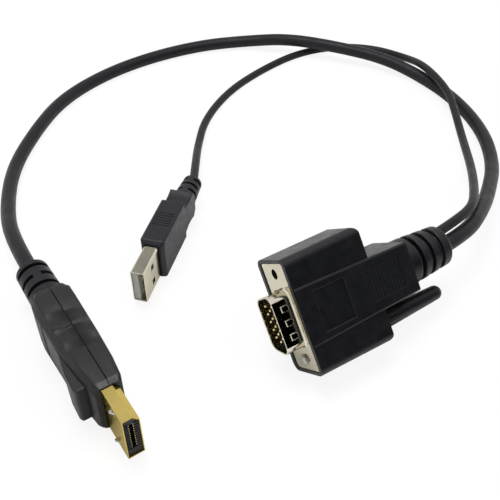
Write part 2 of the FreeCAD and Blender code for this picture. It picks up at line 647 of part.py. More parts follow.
def finger_scallops():
    """Wave to cut from the upper narrow face: hollows and crests as arcs that run into each other."""
    top = VIDEO_BODY_WIDE / 2
    half = VIDEO_SCALLOP_PITCH / 2
    middle = (VIDEO_SCALLOP_DEPTH + VIDEO_SCALLOP_CREST) / 2
    slope = math.tan(2 * math.atan((VIDEO_SCALLOP_DEPTH - VIDEO_SCALLOP_CREST) / half))
    first = VIDEO_SCALLOP_FIRST - half / 2
    turns = [vec(0, first + k * half, top - middle) for k in range(2 * VIDEO_SCALLOP_COUNT)]
    edges = []
    for k, (a, b) in enumerate(zip(turns, turns[1:])):
        depth = VIDEO_SCALLOP_CREST if k % 2 else VIDEO_SCALLOP_DEPTH
        edges.append(Part.Arc(a, vec(0, (a.y + b.y) / 2, top - depth), b).toShape())
    run_out = (middle + PAST) / slope
    above = [turns[-1], vec(0, turns[-1].y + run_out, top + PAST), vec(0, first - run_out, top + PAST), turns[0]]
    edges += [Part.LineSegment(a, b).toShape() for a, b in zip(above, above[1:])]
    wave = extruded(Part.Wire(edges), vec(2 * VIDEO_BODY_WIDE, 0, 0))
    wave.translate(vec(-VIDEO_BODY_WIDE, 0, 0))
    return wave


def cover_form(side):
    """Outer form of one cover half, with the finger scallops across both narrow faces."""
    reach = side * VIDEO_BODY_WIDE
    half = block(min(0, reach), max(0, reach), 0, VIDEO_LENGTH, -VIDEO_BODY_WIDE, VIDEO_BODY_WIDE)
    sections = [covers_section(station) for station in VIDEO_STATIONS]
    spans = [Part.makeLoft([a, b], True, True) for a, b in zip(sections, sections[1:])]
    form = spans[0].multiFuse(spans[1:]).common(half)
    wave = finger_scallops()
    return form.cut(wave).cut(mirrored(wave, vec(0, 0, 1)))


def video_cavities():
    """What the covers leave free: the shell's buried end and the boot's neck and collar."""
    length = VIDEO_EXPOSED + VIDEO_BURIED + FIT
    anchor = VIDEO_BACK - VIDEO_BOOT_NECK - VIDEO_BOOT_ANCHOR
    return [extruded(keyed_outline(0, -FIT), vec(0, length, 0)),
            rod(VIDEO_BOOT_ANCHOR_D / 2 + FIT, anchor - FIT, VIDEO_BACK - VIDEO_BOOT_NECK + FIT),
            rod(VIDEO_BOOT_NECK_D / 2 + FIT, anchor, VIDEO_BACK + PAST)]


def video_cover(side):
    """One cover half with its share of the seam groove and of the hollows inside."""
    reach = VIDEO_BODY_WIDE
    half_seam = SEAM_WIDTH / 2
    seam_ring = block(-half_seam, half_seam, VIDEO_EXPOSED - PAST, VIDEO_BACK + PAST, -reach, reach)
    half_inside = VIDEO_BODY_WIDE / 2 - SEAM_DEPTH - VIDEO_SCALLOP_DEPTH
    inside = block(-SEAM_WIDTH, SEAM_WIDTH, VIDEO_STATIONS[1][0], VIDEO_BACK - SEAM_DEPTH,
                   -half_inside, half_inside)
    cover = cover_form(side).cut(seam_ring.cut(inside))
    for cavity in video_cavities():
        cover = cover.cut(cavity)
    return cover


def video_plug_cover_plain():
    return video_cover(1).removeSplitter()


def button_pivot():
    """Middle of the button's pivot as (x, y)."""
    return -(BUTTON_SEAT + BUTTON_PROFILE[0][1]) / 2, BUTTON_BACK - BUTTON_PIVOT_D


def button_pivot_rod(radius, reach):
    x, y = button_pivot()
    return Part.makeCylinder(radius, 2 * reach, vec(x, y, -reach), vec(0, 0, 1))


def button_travel():
    """How far the front of the button goes in when it is pressed."""
    return (button_pivot()[1] - BUTTON_FRONT) * math.tan(math.radians(BUTTON_PRESS))


def video_plug_button():
    """Wedge-shaped thumb piece on two stub pins at its back, its two feet pressing on the latch arms."""
    half = BUTTON_WIDE / 2
    half_foot = LATCH_ARM_WIDTH / 2
    corners = [vec(-x, y, -half) for y, x in BUTTON_PROFILE]
    corners += [vec(-BUTTON_SEAT, BUTTON_FRONT, -half), vec(-BUTTON_SEAT, BUTTON_BACK, -half)]
    button = extruded(polygon(corners), vec(0, 0, BUTTON_WIDE))
    button = button.fuse(button_pivot_rod(BUTTON_PIVOT_D / 2, half + BUTTON_PIVOT_STUB))
    foot_front = VIDEO_EXPOSED + VIDEO_BURIED + 2 * FREE
    for side in (1, -1):
        z = side * LATCH_ARM_OFFSET
        button = button.fuse(block(-BUTTON_SEAT - FIT, latch_outer_face() - FREE, foot_front,
                                   foot_front + BUTTON_FOOT_LENGTH, z - half_foot, z + half_foot))
    return button.removeSplitter()


def latch_outer_face():
    """Outer face of the latch arms, clear of the shell's wall."""
    return -VIDEO_SHELL_DEEP / 2 + VIDEO_SHEET + FREE


def video_plug_cover_latch():
    """The half with the button's pocket, the latch spring's space behind it and the pivot holes."""
    half = BUTTON_WIDE / 2 + FREE
    outside = -VIDEO_BODY_WIDE
    floor = -BUTTON_SEAT + button_travel() + FREE
    cover = video_cover(-1).cut(block(outside, floor, BUTTON_FRONT - FREE, BUTTON_BACK + FREE, -half, half))
    latch_half = LATCH_ARM_OFFSET + LATCH_ARM_WIDTH / 2 + FREE
    inner = latch_outer_face() + LATCH_SHEET
    cover = cover.cut(block(outside, -POCKET_FLOOR, BUTTON_FRONT - FREE, LATCH_PIVOT - 2 * LATCH_TAIL,
                            -latch_half, latch_half))
    cover = cover.cut(block(outside, inner + FREE, BUTTON_FRONT, LATCH_PIVOT + LATCH_TAIL + FREE,
                            -latch_half, latch_half))
    pin_hole = button_pivot_rod(BUTTON_PIVOT_D / 2 + RUN, BUTTON_WIDE / 2 + BUTTON_PIVOT_STUB + FREE)
    return cover.cut(pin_hole).removeSplitter()


def video_plug_latch():
    """Spring sheet: a cross bar at the back, two long arms and a hook on each."""
    outer = latch_outer_face()
    inner = outer + LATCH_SHEET
    half = LATCH_ARM_WIDTH / 2
    latch = block(outer, inner, LATCH_PIVOT - LATCH_TAIL, LATCH_PIVOT + LATCH_TAIL,
                  -LATCH_ARM_OFFSET - half, LATCH_ARM_OFFSET + half)
    root = outer + LATCH_SHEET / 2
    tip = -VIDEO_SHELL_DEEP / 2 - HOOK_PROUD
    hook_end = HOOK_FRONT + HOOK_LENGTH
    hook_profile = [(root, HOOK_FRONT), (outer - FREE, HOOK_FRONT), (tip, hook_end - LATCH_SHEET),
                    (tip, hook_end), (root, hook_end)]
    for side in (1, -1):
        z = side * LATCH_ARM_OFFSET
        arm = block(outer, inner, HOOK_FRONT, LATCH_PIVOT, z - half, z + half)
        hook = extruded(polygon([vec(x, y, z - half) for x, y in hook_profile]), vec(0, 0, LATCH_ARM_WIDTH))
        latch = latch.fuse(arm).fuse(hook)
    return latch.removeSplitter()


def video_plug_boot():
    """Slotted strain relief with the neck and collar that the covers hold."""
    neck = VIDEO_BACK - VIDEO_BOOT_NECK
    anchor = neck - VIDEO_BOOT_ANCHOR
    end_round = VIDEO_BOOT_END_D / 8
    boot = turned([(0, anchor), (VIDEO_BOOT_ANCHOR_D / 2, anchor), (VIDEO_BOOT_ANCHOR_D / 2, neck),
                   (VIDEO_BOOT_NECK_D / 2, neck), (VIDEO_BOOT_NECK_D / 2, VIDEO_BACK),
                   (VIDEO_BOOT_D / 2 - end_round, VIDEO_BACK), (VIDEO_BOOT_D / 2, VIDEO_BACK + end_round),
                   (VIDEO_BOOT_END_D / 2, VIDEO_LENGTH - end_round),
                   (VIDEO_BOOT_END_D / 2 - end_round, VIDEO_LENGTH), (0, VIDEO_LENGTH)])
    pitch = (VIDEO_LENGTH - VIDEO_BACK) / (VIDEO_BOOT_SLOT_COUNT + 0.5)
    for cut in ring_slots(VIDEO_BACK + pitch / 2, VIDEO_BOOT_SLOT_COUNT, pitch, pitch / 3, VIDEO_BOOT_D,
                          VIDEO_CORD_D / 2 + BOOT_WALL, VIDEO_BOOT_BRIDGE):
        boot = boot.cut(cut)
    return boot


# Cords

def plug_point(x, y, z, turn, along):
    """Point on the axis of a plug that lies flat, at a distance behind its front edge."""
    angle = math.radians(turn + 90)
    return (x + along * math.cos(angle), y + along * math.sin(angle), z)


def dsub_exit(share):
    """Point on the strain relief's end, at a share of the cords' spread along the broad direction."""
    up = share * CORD_SPREAD + CORD_RAISE
    return (-up * math.sin(LEAN), FLANGE_Y + HOOD_LENGTH, DSUB_HEIGHT + up * math.cos(LEAN))


VIDEO_EXIT_SHARE = -DATA_CORD_D / (VIDEO_CORD_D + DATA_CORD_D)
DATA_EXIT_SHARE = 1 + VIDEO_EXIT_SHARE

VIDEO_ROUTE = [
    dsub_exit(VIDEO_EXIT_SHARE),
    (-0.5, 41.5, 16.0), (-7.0, 54.5, 13.4), (-16.5, 69.0, 8.4), (-31.0, 87.5, 3.8),
    (-50.0, 101.0, 2.5), (-73.0, 107.5, 2.5), (-94.0, 107.0, 2.7), (-110.5, 100.5, 5.0),
    (-127.0, 87.0, 6.6), (-143.5, 73.5, 6.6), (-157.0, 61.0, 3.2), (-166.0, 41.0, 2.5),
    (-168.5, 16.0, 2.5), (-165.5, -8.0, 2.5), (-156.5, -30.0, 2.5), (-141.5, -46.5, 2.5),
    (-123.0, -62.0, 2.6), (-100.5, -71.5, 4.6), (-80.0, -76.0, 8.6),
    plug_point(VIDEO_FRONT_X, VIDEO_FRONT_Y, VIDEO_HEIGHT, VIDEO_TURN, VIDEO_LENGTH)]

DATA_ROUTE = [
    dsub_exit(DATA_EXIT_SHARE),
    (-3.4, 39.0, 19.9), (-6.0, 48.5, 19.2), (-13.5, 57.5, 16.2), (-28.0, 72.0, 10.0),
    (-46.5, 86.5, 5.6), (-62.0, 96.5, 6.8), (-73.0, 103.0, 7.8), (-92.5, 108.0, 7.8),
    (-108.5, 112.0, 2.6), (-124.0, 106.5, 1.5), (-134.5, 93.0, 1.5), (-138.5, 75.0, 1.5),
    (-135.0, 54.0, 1.5), (-128.0, 33.0, 1.5), (-115.0, 14.0, 1.6), (-98.5, 1.5, 3.0), (-87.0, -5.5, 6.2),
    plug_point(DATA_FRONT_X, DATA_FRONT_Y, DATA_HEIGHT, DATA_TURN, DATA_LENGTH)]


def cord_path(route, diameter):
    """Straight runs joined by tangent arcs, each as large as its two runs allow."""
    points = [vec(*p) for p in route]
    edges = []
    radii = []
    start = points[0]
    for before, corner, after in zip(points, points[1:], points[2:]):
        back = before - corner
        ahead = after - corner
        cut = ARC_SHARE * min(back.Length, ahead.Length)
        back.normalize()
        ahead.normalize()
        half = back.getAngle(ahead) / 2
        radius = cut * math.tan(half)
        inward = (back + ahead).normalize()
        first = corner + back * cut
        last = corner + ahead * cut
        mid = corner + inward * (radius / math.sin(half) - radius)
        edges.append(Part.LineSegment(start, first).toShape())
        edges.append(Part.Arc(first, mid, last).toShape())
        radii.append(radius)
        start = last
    edges.append(Part.LineSegment(start, points[-1]).toShape())
    path = Part.Wire(edges)
    print("bend radii", [round(r, 1) for r in radii])
    print("smallest radius in diameters", round(min(radii) / diameter, 1))
    return path


def cord_tube(route, diameter):
    path = cord_path(route, diameter)
    ahead = vec(*route[1]) - vec(*route[0])
    section = Part.Wire(Part.makeCircle(diameter / 2, vec(*route[0]), ahead))
    tube = path.makePipeShell([section], True, False)
    expected = math.pi * diameter ** 2 / 4 * path.Length
    print("cord length", round(path.Length, 1))
    print("volume over section times length", round(tube.Volume / expected, 4))
    return tube


DSUB_PIECES = (dsub_hood, dsub_shell, dsub_back_shell, dsub_insulator, dsub_pins,
               thumbscrew_knob, thumbscrew_shank)
DATA_PIECES = (data_plug_body, data_plug_shell, data_plug_tongue, data_plug_contacts)
VIDEO_PIECES = (video_plug_cover_plain, video_plug_cover_latch, video_plug_boot, video_plug_shell,
                video_plug_insulator, video_plug_contacts, video_plug_latch, video_plug_button)


def main():
    os.makedirs("parts", exist_ok=True)
    nodes = {}
    for make in DSUB_PIECES:
        nodes[make.__name__] = set_down(make(), 0, FLANGE_Y, DSUB_HEIGHT, roll=DSUB_ROLL)
    for make in DATA_PIECES:
        nodes[make.__name__] = set_down(make(), DATA_FRONT_X, DATA_FRONT_Y, DATA_HEIGHT, turn=DATA_TURN)
    for make in VIDEO_PIECES:
        nodes[make.__name__] = set_down(make(), VIDEO_FRONT_X, VIDEO_FRONT_Y, VIDEO_HEIGHT, turn=VIDEO_TURN)
    nodes["video_cord"] = cord_tube(VIDEO_ROUTE, VIDEO_CORD_D)
    nodes["data_cord"] = cord_tube(DATA_ROUTE, DATA_CORD_D)
    for name, shape in nodes.items():
        shape.exportStep("parts/" + name + ".step")
        print(name, "solids", len(shape.Solids), "valid", shape.isValid(), "volume", round(shape.Volume, 2))


main()
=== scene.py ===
import json
import math

import bmesh
import bpy
from bpy.props import FloatProperty, FloatVectorProperty, IntProperty, PointerProperty
from mathutils import Matrix, Vector
from mathutils.geometry import intersect_point_line

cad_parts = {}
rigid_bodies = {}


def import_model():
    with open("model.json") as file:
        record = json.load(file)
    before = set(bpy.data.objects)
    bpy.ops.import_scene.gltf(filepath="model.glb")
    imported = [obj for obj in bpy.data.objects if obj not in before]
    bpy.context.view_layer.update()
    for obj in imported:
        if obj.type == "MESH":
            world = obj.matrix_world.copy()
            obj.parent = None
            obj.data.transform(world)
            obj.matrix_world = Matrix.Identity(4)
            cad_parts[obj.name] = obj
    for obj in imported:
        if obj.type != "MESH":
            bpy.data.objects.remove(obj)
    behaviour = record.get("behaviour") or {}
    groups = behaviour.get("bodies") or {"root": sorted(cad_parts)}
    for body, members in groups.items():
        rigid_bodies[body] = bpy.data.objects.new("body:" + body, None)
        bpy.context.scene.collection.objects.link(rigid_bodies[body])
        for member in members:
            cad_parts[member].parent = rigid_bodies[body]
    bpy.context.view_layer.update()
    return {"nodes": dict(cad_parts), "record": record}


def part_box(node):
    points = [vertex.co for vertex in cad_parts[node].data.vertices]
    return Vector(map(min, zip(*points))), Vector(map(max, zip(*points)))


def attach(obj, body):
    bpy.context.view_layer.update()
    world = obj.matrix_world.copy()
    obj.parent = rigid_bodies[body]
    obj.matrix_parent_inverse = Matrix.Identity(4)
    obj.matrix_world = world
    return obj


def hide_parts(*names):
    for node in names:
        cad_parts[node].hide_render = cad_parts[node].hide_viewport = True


bl_info = {
    "name": "Y Cable Dressing",
    "version": (1, 0, 0),
    "blender": (4, 5, 0),
    "location": "View3D > Sidebar > Y Cable",
    "description": "Dresses the packed Y cable with soft-edged mouldings, cords, pins, plating and a studio",
    "category": "Object",
}

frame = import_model()
NODES = frame["nodes"]
MOUNTS = {mount["name"]: mount for mount in frame["record"]["mounts"]}
BODY_OF = {node: body for body, nodes in frame["record"]["behaviour"]["bodies"].items() for node in nodes}
SLOT_OF = {part["node"]: part["material_slot"] for part in frame["record"]["subparts"]}

UP = Vector((0, 0, 1))

# How the D plug lies: its mating face on the flange, and the lean of its broad direction
D_FACE = Vector(MOUNTS["d_plug_face"]["pos_m"])
D_LEAN = math.radians(40)
D_PLACE = Matrix.Translation(D_FACE) @ Matrix.Rotation(-D_LEAN, 4, "Y")

# How the display plug lies, and its covers' parting plane: a point on it, the plug's way, the way across
DISPLAY_FACE = Vector(MOUNTS["display_plug_face"]["pos_m"])
DISPLAY_AXIS = Vector(MOUNTS["display_plug_face"]["axis"])
DISPLAY_SIDE = UP.cross(DISPLAY_AXIS)
DISPLAY_TURN = math.atan2(DISPLAY_AXIS.y, DISPLAY_AXIS.x) + math.pi / 2
DISPLAY_PLACE = Matrix.Translation(DISPLAY_FACE) @ Matrix.Rotation(DISPLAY_TURN, 4, "Z")
HALF_SEAM = 0.0003               # a corner nearer than this to the parting plane lies on the seam
SEAM_CLOSED = 0.96               # share of the seam's groove that is taken up where it runs out
FACE_SINK = 0.0005               # insulator's face behind the shell's edge
COVER_FRONT = 0.0120             # just behind the covers' front, from the shell's edge

# Mating face of the data plug
DATA_FACE = Vector(MOUNTS["data_plug_face"]["pos_m"])

# Middle lines of the cords, from the D plug's strain relief to the far plug, in metres
THICK_ROUTE = [
    (0.000546, 0.02995, 0.016404), (-0.0005, 0.0415, 0.0160), (-0.0070, 0.0545, 0.0134),
    (-0.0165, 0.0690, 0.0084), (-0.0310, 0.0875, 0.0038), (-0.0500, 0.1010, 0.0025),
    (-0.0730, 0.1075, 0.0025), (-0.0940, 0.1070, 0.0027), (-0.1105, 0.1005, 0.0050),
    (-0.1270, 0.0870, 0.0066), (-0.1435, 0.0735, 0.0066), (-0.1570, 0.0610, 0.0032),
    (-0.1660, 0.0410, 0.0025), (-0.1685, 0.0160, 0.0025), (-0.1655, -0.0080, 0.0025),
    (-0.1565, -0.0300, 0.0025), (-0.1415, -0.0465, 0.0025), (-0.1230, -0.0620, 0.0026),
    (-0.1005, -0.0715, 0.0046), (-0.0800, -0.0760, 0.0086), (-0.06229, -0.075954, 0.0095)]
THIN_ROUTE = [
    (-0.002282, 0.02995, 0.019775), (-0.0034, 0.0390, 0.0199), (-0.0060, 0.0485, 0.0192),
    (-0.0135, 0.0575, 0.0162), (-0.0280, 0.0720, 0.0100), (-0.0465, 0.0865, 0.0056),
    (-0.0620, 0.0965, 0.0068), (-0.0730, 0.1030, 0.0078), (-0.0925, 0.1080, 0.0078),
    (-0.1085, 0.1120, 0.0026), (-0.1240, 0.1065, 0.0015), (-0.1345, 0.0930, 0.0015),
    (-0.1385, 0.0750, 0.0015), (-0.1350, 0.0540, 0.0015), (-0.1280, 0.0330, 0.0015),
    (-0.1150, 0.0140, 0.0016), (-0.0985, 0.0015, 0.0030), (-0.0870, -0.0055, 0.0062),
    (-0.076155, -0.012354, 0.0075)]

# Rounding of edges
WELD = 1e-6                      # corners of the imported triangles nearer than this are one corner
FLAT = math.radians(0.5)         # neighbouring faces nearer to level than this are one face
SHARP = math.radians(32)         # an edge with more turn than this gets rounded
STRAIGHT = math.radians(140)     # two edges that open wider than this run on into each other
SHARE = 0.36                     # share of the free way beside an edge that its rounding may take
BESIDE = 0.7                     # a way with a smaller share than this along an edge leads aside from it

# How finely the pins, the screw, its thread and the cords are divided
PIN_STEPS = 120
PIN_SIDES = 14
SCREW_SIDES = 32
RIDGE_SIDES = 6
CORD_STEPS = 12
CORD_ORDER = 3                   # order of the cords' smooth curves

# Names of the finishes by the record's slots, and the slots that are metal
FINISH_NAMES = {
    "hood": "hood_black",
    "cover": "cover_grey",
    "data_body": "data_grey",
    "insulator": "insulator_black",
    "tongue": "tongue_white",
    "cord": "sheath_grey",
    "nickel": "nickel_plate",
    "screw": "bright_steel",
    "gold_shell": "gold_plate",
    "contact": "contact_gold",
}
METAL_SLOTS = ("nickel", "screw", "gold_shell", "contact")

# How the finishes shine and vary
NOISE_LOW = 0.3                  # nearly all of a noise lies between these two
NOISE_HIGH = 0.7
PLASTIC_SHINE = 0.30             # specular levels
SHEATH_SHINE = 0.23
GLOSSIER = 0.05                  # how far a plastic's roughness goes below and above its mean
DULLER = 0.07
UNEVEN = 0.35                    # share by which a plating's roughness goes below and above its mean
SLANT_WHITE = 0.35               # a plating seen at a slant shows this much white
SLANT_OWN = 0.60                 # and this share of its own colour
STREAKS_ALONG_X = (1, 6, 6)      # squeeze of a noise, so that it runs along one way
STREAKS_ALONG_Y = (6, 1, 6)

# Studio: lamps with their place, what they look at and their width, the floor and the film
OVERHEAD_LAMP = {"place": (-0.15, 0.15, 0.85), "target": (-0.06, 0.02, 0), "size": 0.9}
SIDE_LAMP = {"place": (0.55, 0.55, 0.45), "target": (-0.03, 0.0, 0), "size": 0.6}
SOFT_BOX = {"place": (-0.12, -0.045, 0.50), "target": (-0.01, -0.07, 0.02), "size": 0.24}
EDGE_LAMP = {"place": (0.22, -0.015, 0.33), "target": (-0.02, -0.075, 0.02), "size": 0.12}
FLOOR_HALF = 3.0
FLOOR_GREY = 0.8                 # share of its light that the floor throws back onto the cable
FADE_START = 0.25                # from here outwards the floor runs out into plain white
FADE_END = 0.9
FILM_WIDTH = 36.0                # in millimetres
NEAR_CLIP = 0.005


def length(label, words, default):
    return FloatProperty(name=label, description=words, default=default, unit="LENGTH", precision=5)


def colour(label, words, default):
    return FloatVectorProperty(name=label, description=words, default=default, subtype="COLOR", min=0, max=1)


def factor(label, words, default):
    return FloatProperty(name=label, description=words, default=default, subtype="FACTOR", min=0, max=1)


def watts(label, words, default):
    return FloatProperty(name=label, description=words, default=default, unit="POWER")


def angle(label, words, degrees):
    return FloatProperty(name=label, description=words, default=math.radians(degrees), subtype="ANGLE")


class YCableMouldings(bpy.types.PropertyGroup):
    """Colours and soft edges of the plastic pieces."""
    hood_black: colour("Hood", "Black of the D plug's hood and knob", (0.0036, 0.0040, 0.0056))
    cover_grey: colour("Display covers", "Grey of the display plug's covers", (0.0060, 0.0064, 0.0074))
    data_grey: colour("Data body", "Grey of the data plug's moulding", (0.0070, 0.0070, 0.0110))
    insulator_black: colour("Insulators", "Black of the insulators", (0.0055, 0.0055, 0.0060))
    tongue_white: colour("Tongue", "Off white of the data plug's tongue", (0.52, 0.52, 0.50))
    edge: length("Edge", "Rounding of the mouldings' edges", 0.00030)
    fine_edge: length("Fine edge", "Rounding of ribs, rings and flutes", 0.00012)
    button_edge: length("Button edge", "Rounding of the release button's edges", 0.00055)


class YCableMetals(bpy.types.PropertyGroup):
    """Colours of the plated pieces and sizes of the pins, the thread and the comb."""
    nickel: colour("Nickel", "Warm nickel of the shells", (0.65, 0.613, 0.503))
    gold: colour("Gold", "Gold of the display plug's shell", (0.58, 0.455, 0.14))
    pin_gold: colour("Pins", "Pale gold of the pins and contacts", (0.74, 0.62, 0.34))
    steel: colour("Steel", "Bright steel of the screw and hooks", (0.47, 0.47, 0.43))
    sheet_edge: length("Sheet edge", "Rounding of the sheet metal's edges", 0.00010)
    pin_diameter: length("Pin", "Diameter of a pin", 0.00076)
    pin_length: length("Pin length", "Length of a pin from nose to tail", 0.0142)
    pin_nose: length("Pin nose", "Length of a pin's rounded nose", 0.0006)
    pin_front: length("Pin front", "How far the noses stand in front of the flange", 0.0052)
    pin_pitch: length("Pin pitch", "Between neighbours in a row", 0.00229)
    row_pitch: length("Row pitch", "Between neighbouring rows", 0.00198)
    thread_pitch: length("Thread pitch", "Rise of the screw's thread in one turn", 0.00064)
    thread_depth: length("Thread depth", "Depth of the thread", 0.00026)
    thread_length: length("Thread length", "How far the thread reaches back from the tip", 0.0065)
    slot_depth: length("Slot", "Width of the display plug's mating slot", 0.0016)
    comb_pitch: length("Comb pitch", "Between neighbouring contacts of the display plug", 0.001)
    comb_rib: length("Comb rib", "Thickness of a rib between two contacts", 0.0005)
    comb_reach: length("Comb reach", "Length of a rib from the slot towards the shell", 0.00095)
    comb_height: length("Comb height", "Height of the ribs over the insulator's face", 0.00024)


class YCableCords(bpy.types.PropertyGroup):
    """Sizes and colour of the cords."""
    thick: length("Thick cord", "Diameter of the cord to the display plug", 0.005)
    thin: length("Thin cord", "Diameter of the cord to the data plug", 0.003)
    sheath_grey: colour("Sheath", "Dark grey of the soft sheath", (0.0072, 0.0076, 0.0095))
    sides: IntProperty(name="Sides", description="Smoothness of a cord's section", default=8, min=2, max=16)


class YCableStage(bpy.types.PropertyGroup):
    """Studio: camera, lamps, floor and cards."""
    eye: FloatVectorProperty(name="Eye", description="Place of the camera", subtype="TRANSLATION",
                             default=(0.1078, -0.10415, 0.1709), unit="LENGTH", precision=5)
    azimuth: angle("Azimuth", "Turn of the camera about the upright", 58.0)
    tilt: angle("Tilt", "Camera's tilt from looking straight down", 46.15)
    lens: FloatProperty(name="Lens", description="Focal length for a 36 mm film", unit="CAMERA",
                        default=54.0)
    world: factor("World", "Strength of the even light from all round", 0.55)
    overhead: watts("Overhead", "Lamp above the table", 0.9)
    side: watts("Side", "Lamp beyond the table on the right", 2.2)
    soft_box: watts("Soft box", "Small lamp that rounded edges mirror", 1.25)
    edge_lamp: watts("Edge lamp", "Lamp that the display plug's front edges mirror", 1.5)
    floor_glow: factor("Floor glow", "Share of the floor's white that shadows leave alone", 0.86)
    mirror_glow: factor("Mirrored glow", "The same share in what mirrors the floor", 0.15)
    card_size: length("Dark card", "Side of the dark card that the D plug mirrors", 0.42)
    card_reach: length("Card reach", "From the plugs to their cards", 0.35)
    grey_size: length("Grey card", "Side of the grey card that the data plug's top mirrors", 0.15)
    grey: factor("Grey", "Grey of that card", 0.38)


class YCableSettings(bpy.types.PropertyGroup):
    """All settings of the cable."""
    mouldings: PointerProperty(type=YCableMouldings)
    metals: PointerProperty(type=YCableMetals)
    cords: PointerProperty(type=YCableCords)
    stage: PointerProperty(type=YCableStage)


def settings():
    return bpy.context.scene.y_cable


# Materials

def principled(name):
    material = bpy.data.materials.new(name)
    material.use_nodes = True
    return material, material.node_tree, material.node_tree.nodes["Principled BSDF"]


def noise(tree, scale, detail=2.0, stretch=(1, 1, 1)):
    """Noise over Object coordinates, in features per metre."""
    place = tree.nodes.new("ShaderNodeTexCoord")
    mapping = tree.nodes.new("ShaderNodeMapping")
    mapping.inputs["Scale"].default_value = stretch
    cloud = tree.nodes.new("ShaderNodeTexNoise")
    cloud.inputs["Scale"].default_value = scale
    cloud.inputs["Detail"].default_value = detail
    tree.links.new(place.outputs["Object"], mapping.inputs["Vector"])
    tree.links.new(mapping.outputs["Vector"], cloud.inputs["Vector"])
    return cloud.outputs[0]


def ranged(tree, value, low, high):
    """Noise spread out between two values."""
    spread = tree.nodes.new("ShaderNodeMapRange")
    spread.inputs["From Min"].default_value = NOISE_LOW
    spread.inputs["From Max"].default_value = NOISE_HIGH
    spread.inputs["To Min"].default_value = low
    spread.inputs["To Max"].default_value = high
    tree.links.new(value, spread.inputs["Value"])
    return spread.outputs["Result"]


def tinted(tree, value, tint, spread):
    """Colour that wanders by a share of itself round the tint."""
    ramp = tree.nodes.new("ShaderNodeValToRGB")
    ends = ramp.color_ramp.elements
    ends[0].position = NOISE_LOW
    ends[1].position = NOISE_HIGH
    ends[0].color = [c * (1 - spread) for c in tint] + [1]
    ends[1].color = [min(1, c * (1 + spread)) for c in tint] + [1]
    tree.links.new(value, ramp.inputs["Fac"])
    return ramp.outputs["Color"]


def bumped(tree, shader, height, distance, strength):
    bump = tree.nodes.new("ShaderNodeBump")
    bump.inputs["Strength"].default_value = strength
    bump.inputs["Distance"].default_value = distance
    tree.links.new(height, bump.inputs["Height"])
    tree.links.new(bump.outputs["Normal"], shader.inputs["Normal"])


def moulded_plastic(slot, tint, roughness, grain, grain_depth):
    """Moulded plastic: spark-eroded grain, slow clouds in its colour and uneven gloss."""
    tree, shader = principled(FINISH_NAMES[slot])[1:]
    shader.inputs["Specular IOR Level"].default_value = PLASTIC_SHINE
    clouds = noise(tree, scale=90, detail=3)
    gloss = noise(tree, scale=420, detail=3)
    tree.links.new(tinted(tree, clouds, tint, spread=0.12), shader.inputs["Base Color"])
    matt = ranged(tree, gloss, low=roughness - GLOSSIER, high=roughness + DULLER)
    tree.links.new(matt, shader.inputs["Roughness"])
    bumped(tree, shader, noise(tree, scale=grain), distance=grain_depth, strength=0.5)


def soft_sheath(slot, tint):
    """Extruded cord sheath: satin skin with faint waves along it."""
    tree, shader = principled(FINISH_NAMES[slot])[1:]
    shader.inputs["Specular IOR Level"].default_value = SHEATH_SHINE
    clouds = noise(tree, scale=140, detail=3)
    gloss = noise(tree, scale=260, detail=4)
    tree.links.new(tinted(tree, clouds, tint, spread=0.18), shader.inputs["Base Color"])
    matt = ranged(tree, gloss, low=0.38, high=0.52)
    tree.links.new(matt, shader.inputs["Roughness"])
    bumped(tree, shader, noise(tree, scale=700, detail=3), distance=0.00006, strength=0.35)


def plated(slot, tint, roughness, streak):
    """Plated sheet: rolling streaks in its gloss and faint stains in its colour."""
    tree, shader = principled(FINISH_NAMES[slot])[1:]
    slanted = [SLANT_WHITE + SLANT_OWN * c for c in tint]
    shader.inputs["Metallic"].default_value = 1.0
    shader.inputs["Specular Tint"].default_value = slanted + [1]
    stains = noise(tree, scale=260, detail=3)
    gloss = noise(tree, scale=900, detail=4, stretch=streak)
    matt = ranged(tree, gloss, low=(1 - UNEVEN) * roughness, high=(1 + UNEVEN) * roughness)
    tree.links.new(tinted(tree, stains, tint, spread=0.07), shader.inputs["Base Color"])
    tree.links.new(matt, shader.inputs["Roughness"])
    bumped(tree, shader, noise(tree, scale=1600, detail=3, stretch=streak), distance=0.000001, strength=0.2)


def make_materials():
    """One finish for each of the record's slots."""
    plastic = settings().mouldings
    metal = settings().metals
    moulded_plastic("hood", plastic.hood_black, roughness=0.40, grain=3800, grain_depth=0.00003)
    moulded_plastic("cover", plastic.cover_grey, roughness=0.50, grain=3200, grain_depth=0.00003)
    moulded_plastic("data_body", plastic.data_grey, roughness=0.46, grain=3200, grain_depth=0.00003)
    moulded_plastic("insulator", plastic.insulator_black, roughness=0.50, grain=4200, grain_depth=0.00002)
    moulded_plastic("tongue", plastic.tongue_white, roughness=0.50, grain=4200, grain_depth=0.00002)
    soft_sheath("cord", settings().cords.sheath_grey)
    plated("nickel", metal.nickel, roughness=0.12, streak=STREAKS_ALONG_Y)
    plated("screw", metal.steel, roughness=0.27, streak=STREAKS_ALONG_Y)
    plated("gold_shell", metal.gold, roughness=0.22, streak=STREAKS_ALONG_X)
    plated("contact", metal.pin_gold, roughness=0.25, streak=STREAKS_ALONG_Y)


def finish(slot):
    return bpy.data.materials[FINISH_NAMES[slot]]


# Meshes

def placed(name, data):
    """New object in the scene."""
    thing = bpy.data.objects.new(name, data)
    bpy.context.scene.collection.objects.link(thing)
    return thing


def seated(name, mesh, body, slot, *nodes):
    """A finished piece at the origin that rides a body and stands for CAD nodes."""
    piece = placed(name, mesh)
    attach(piece, body)
    if nodes:
        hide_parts(*nodes)
    return piece


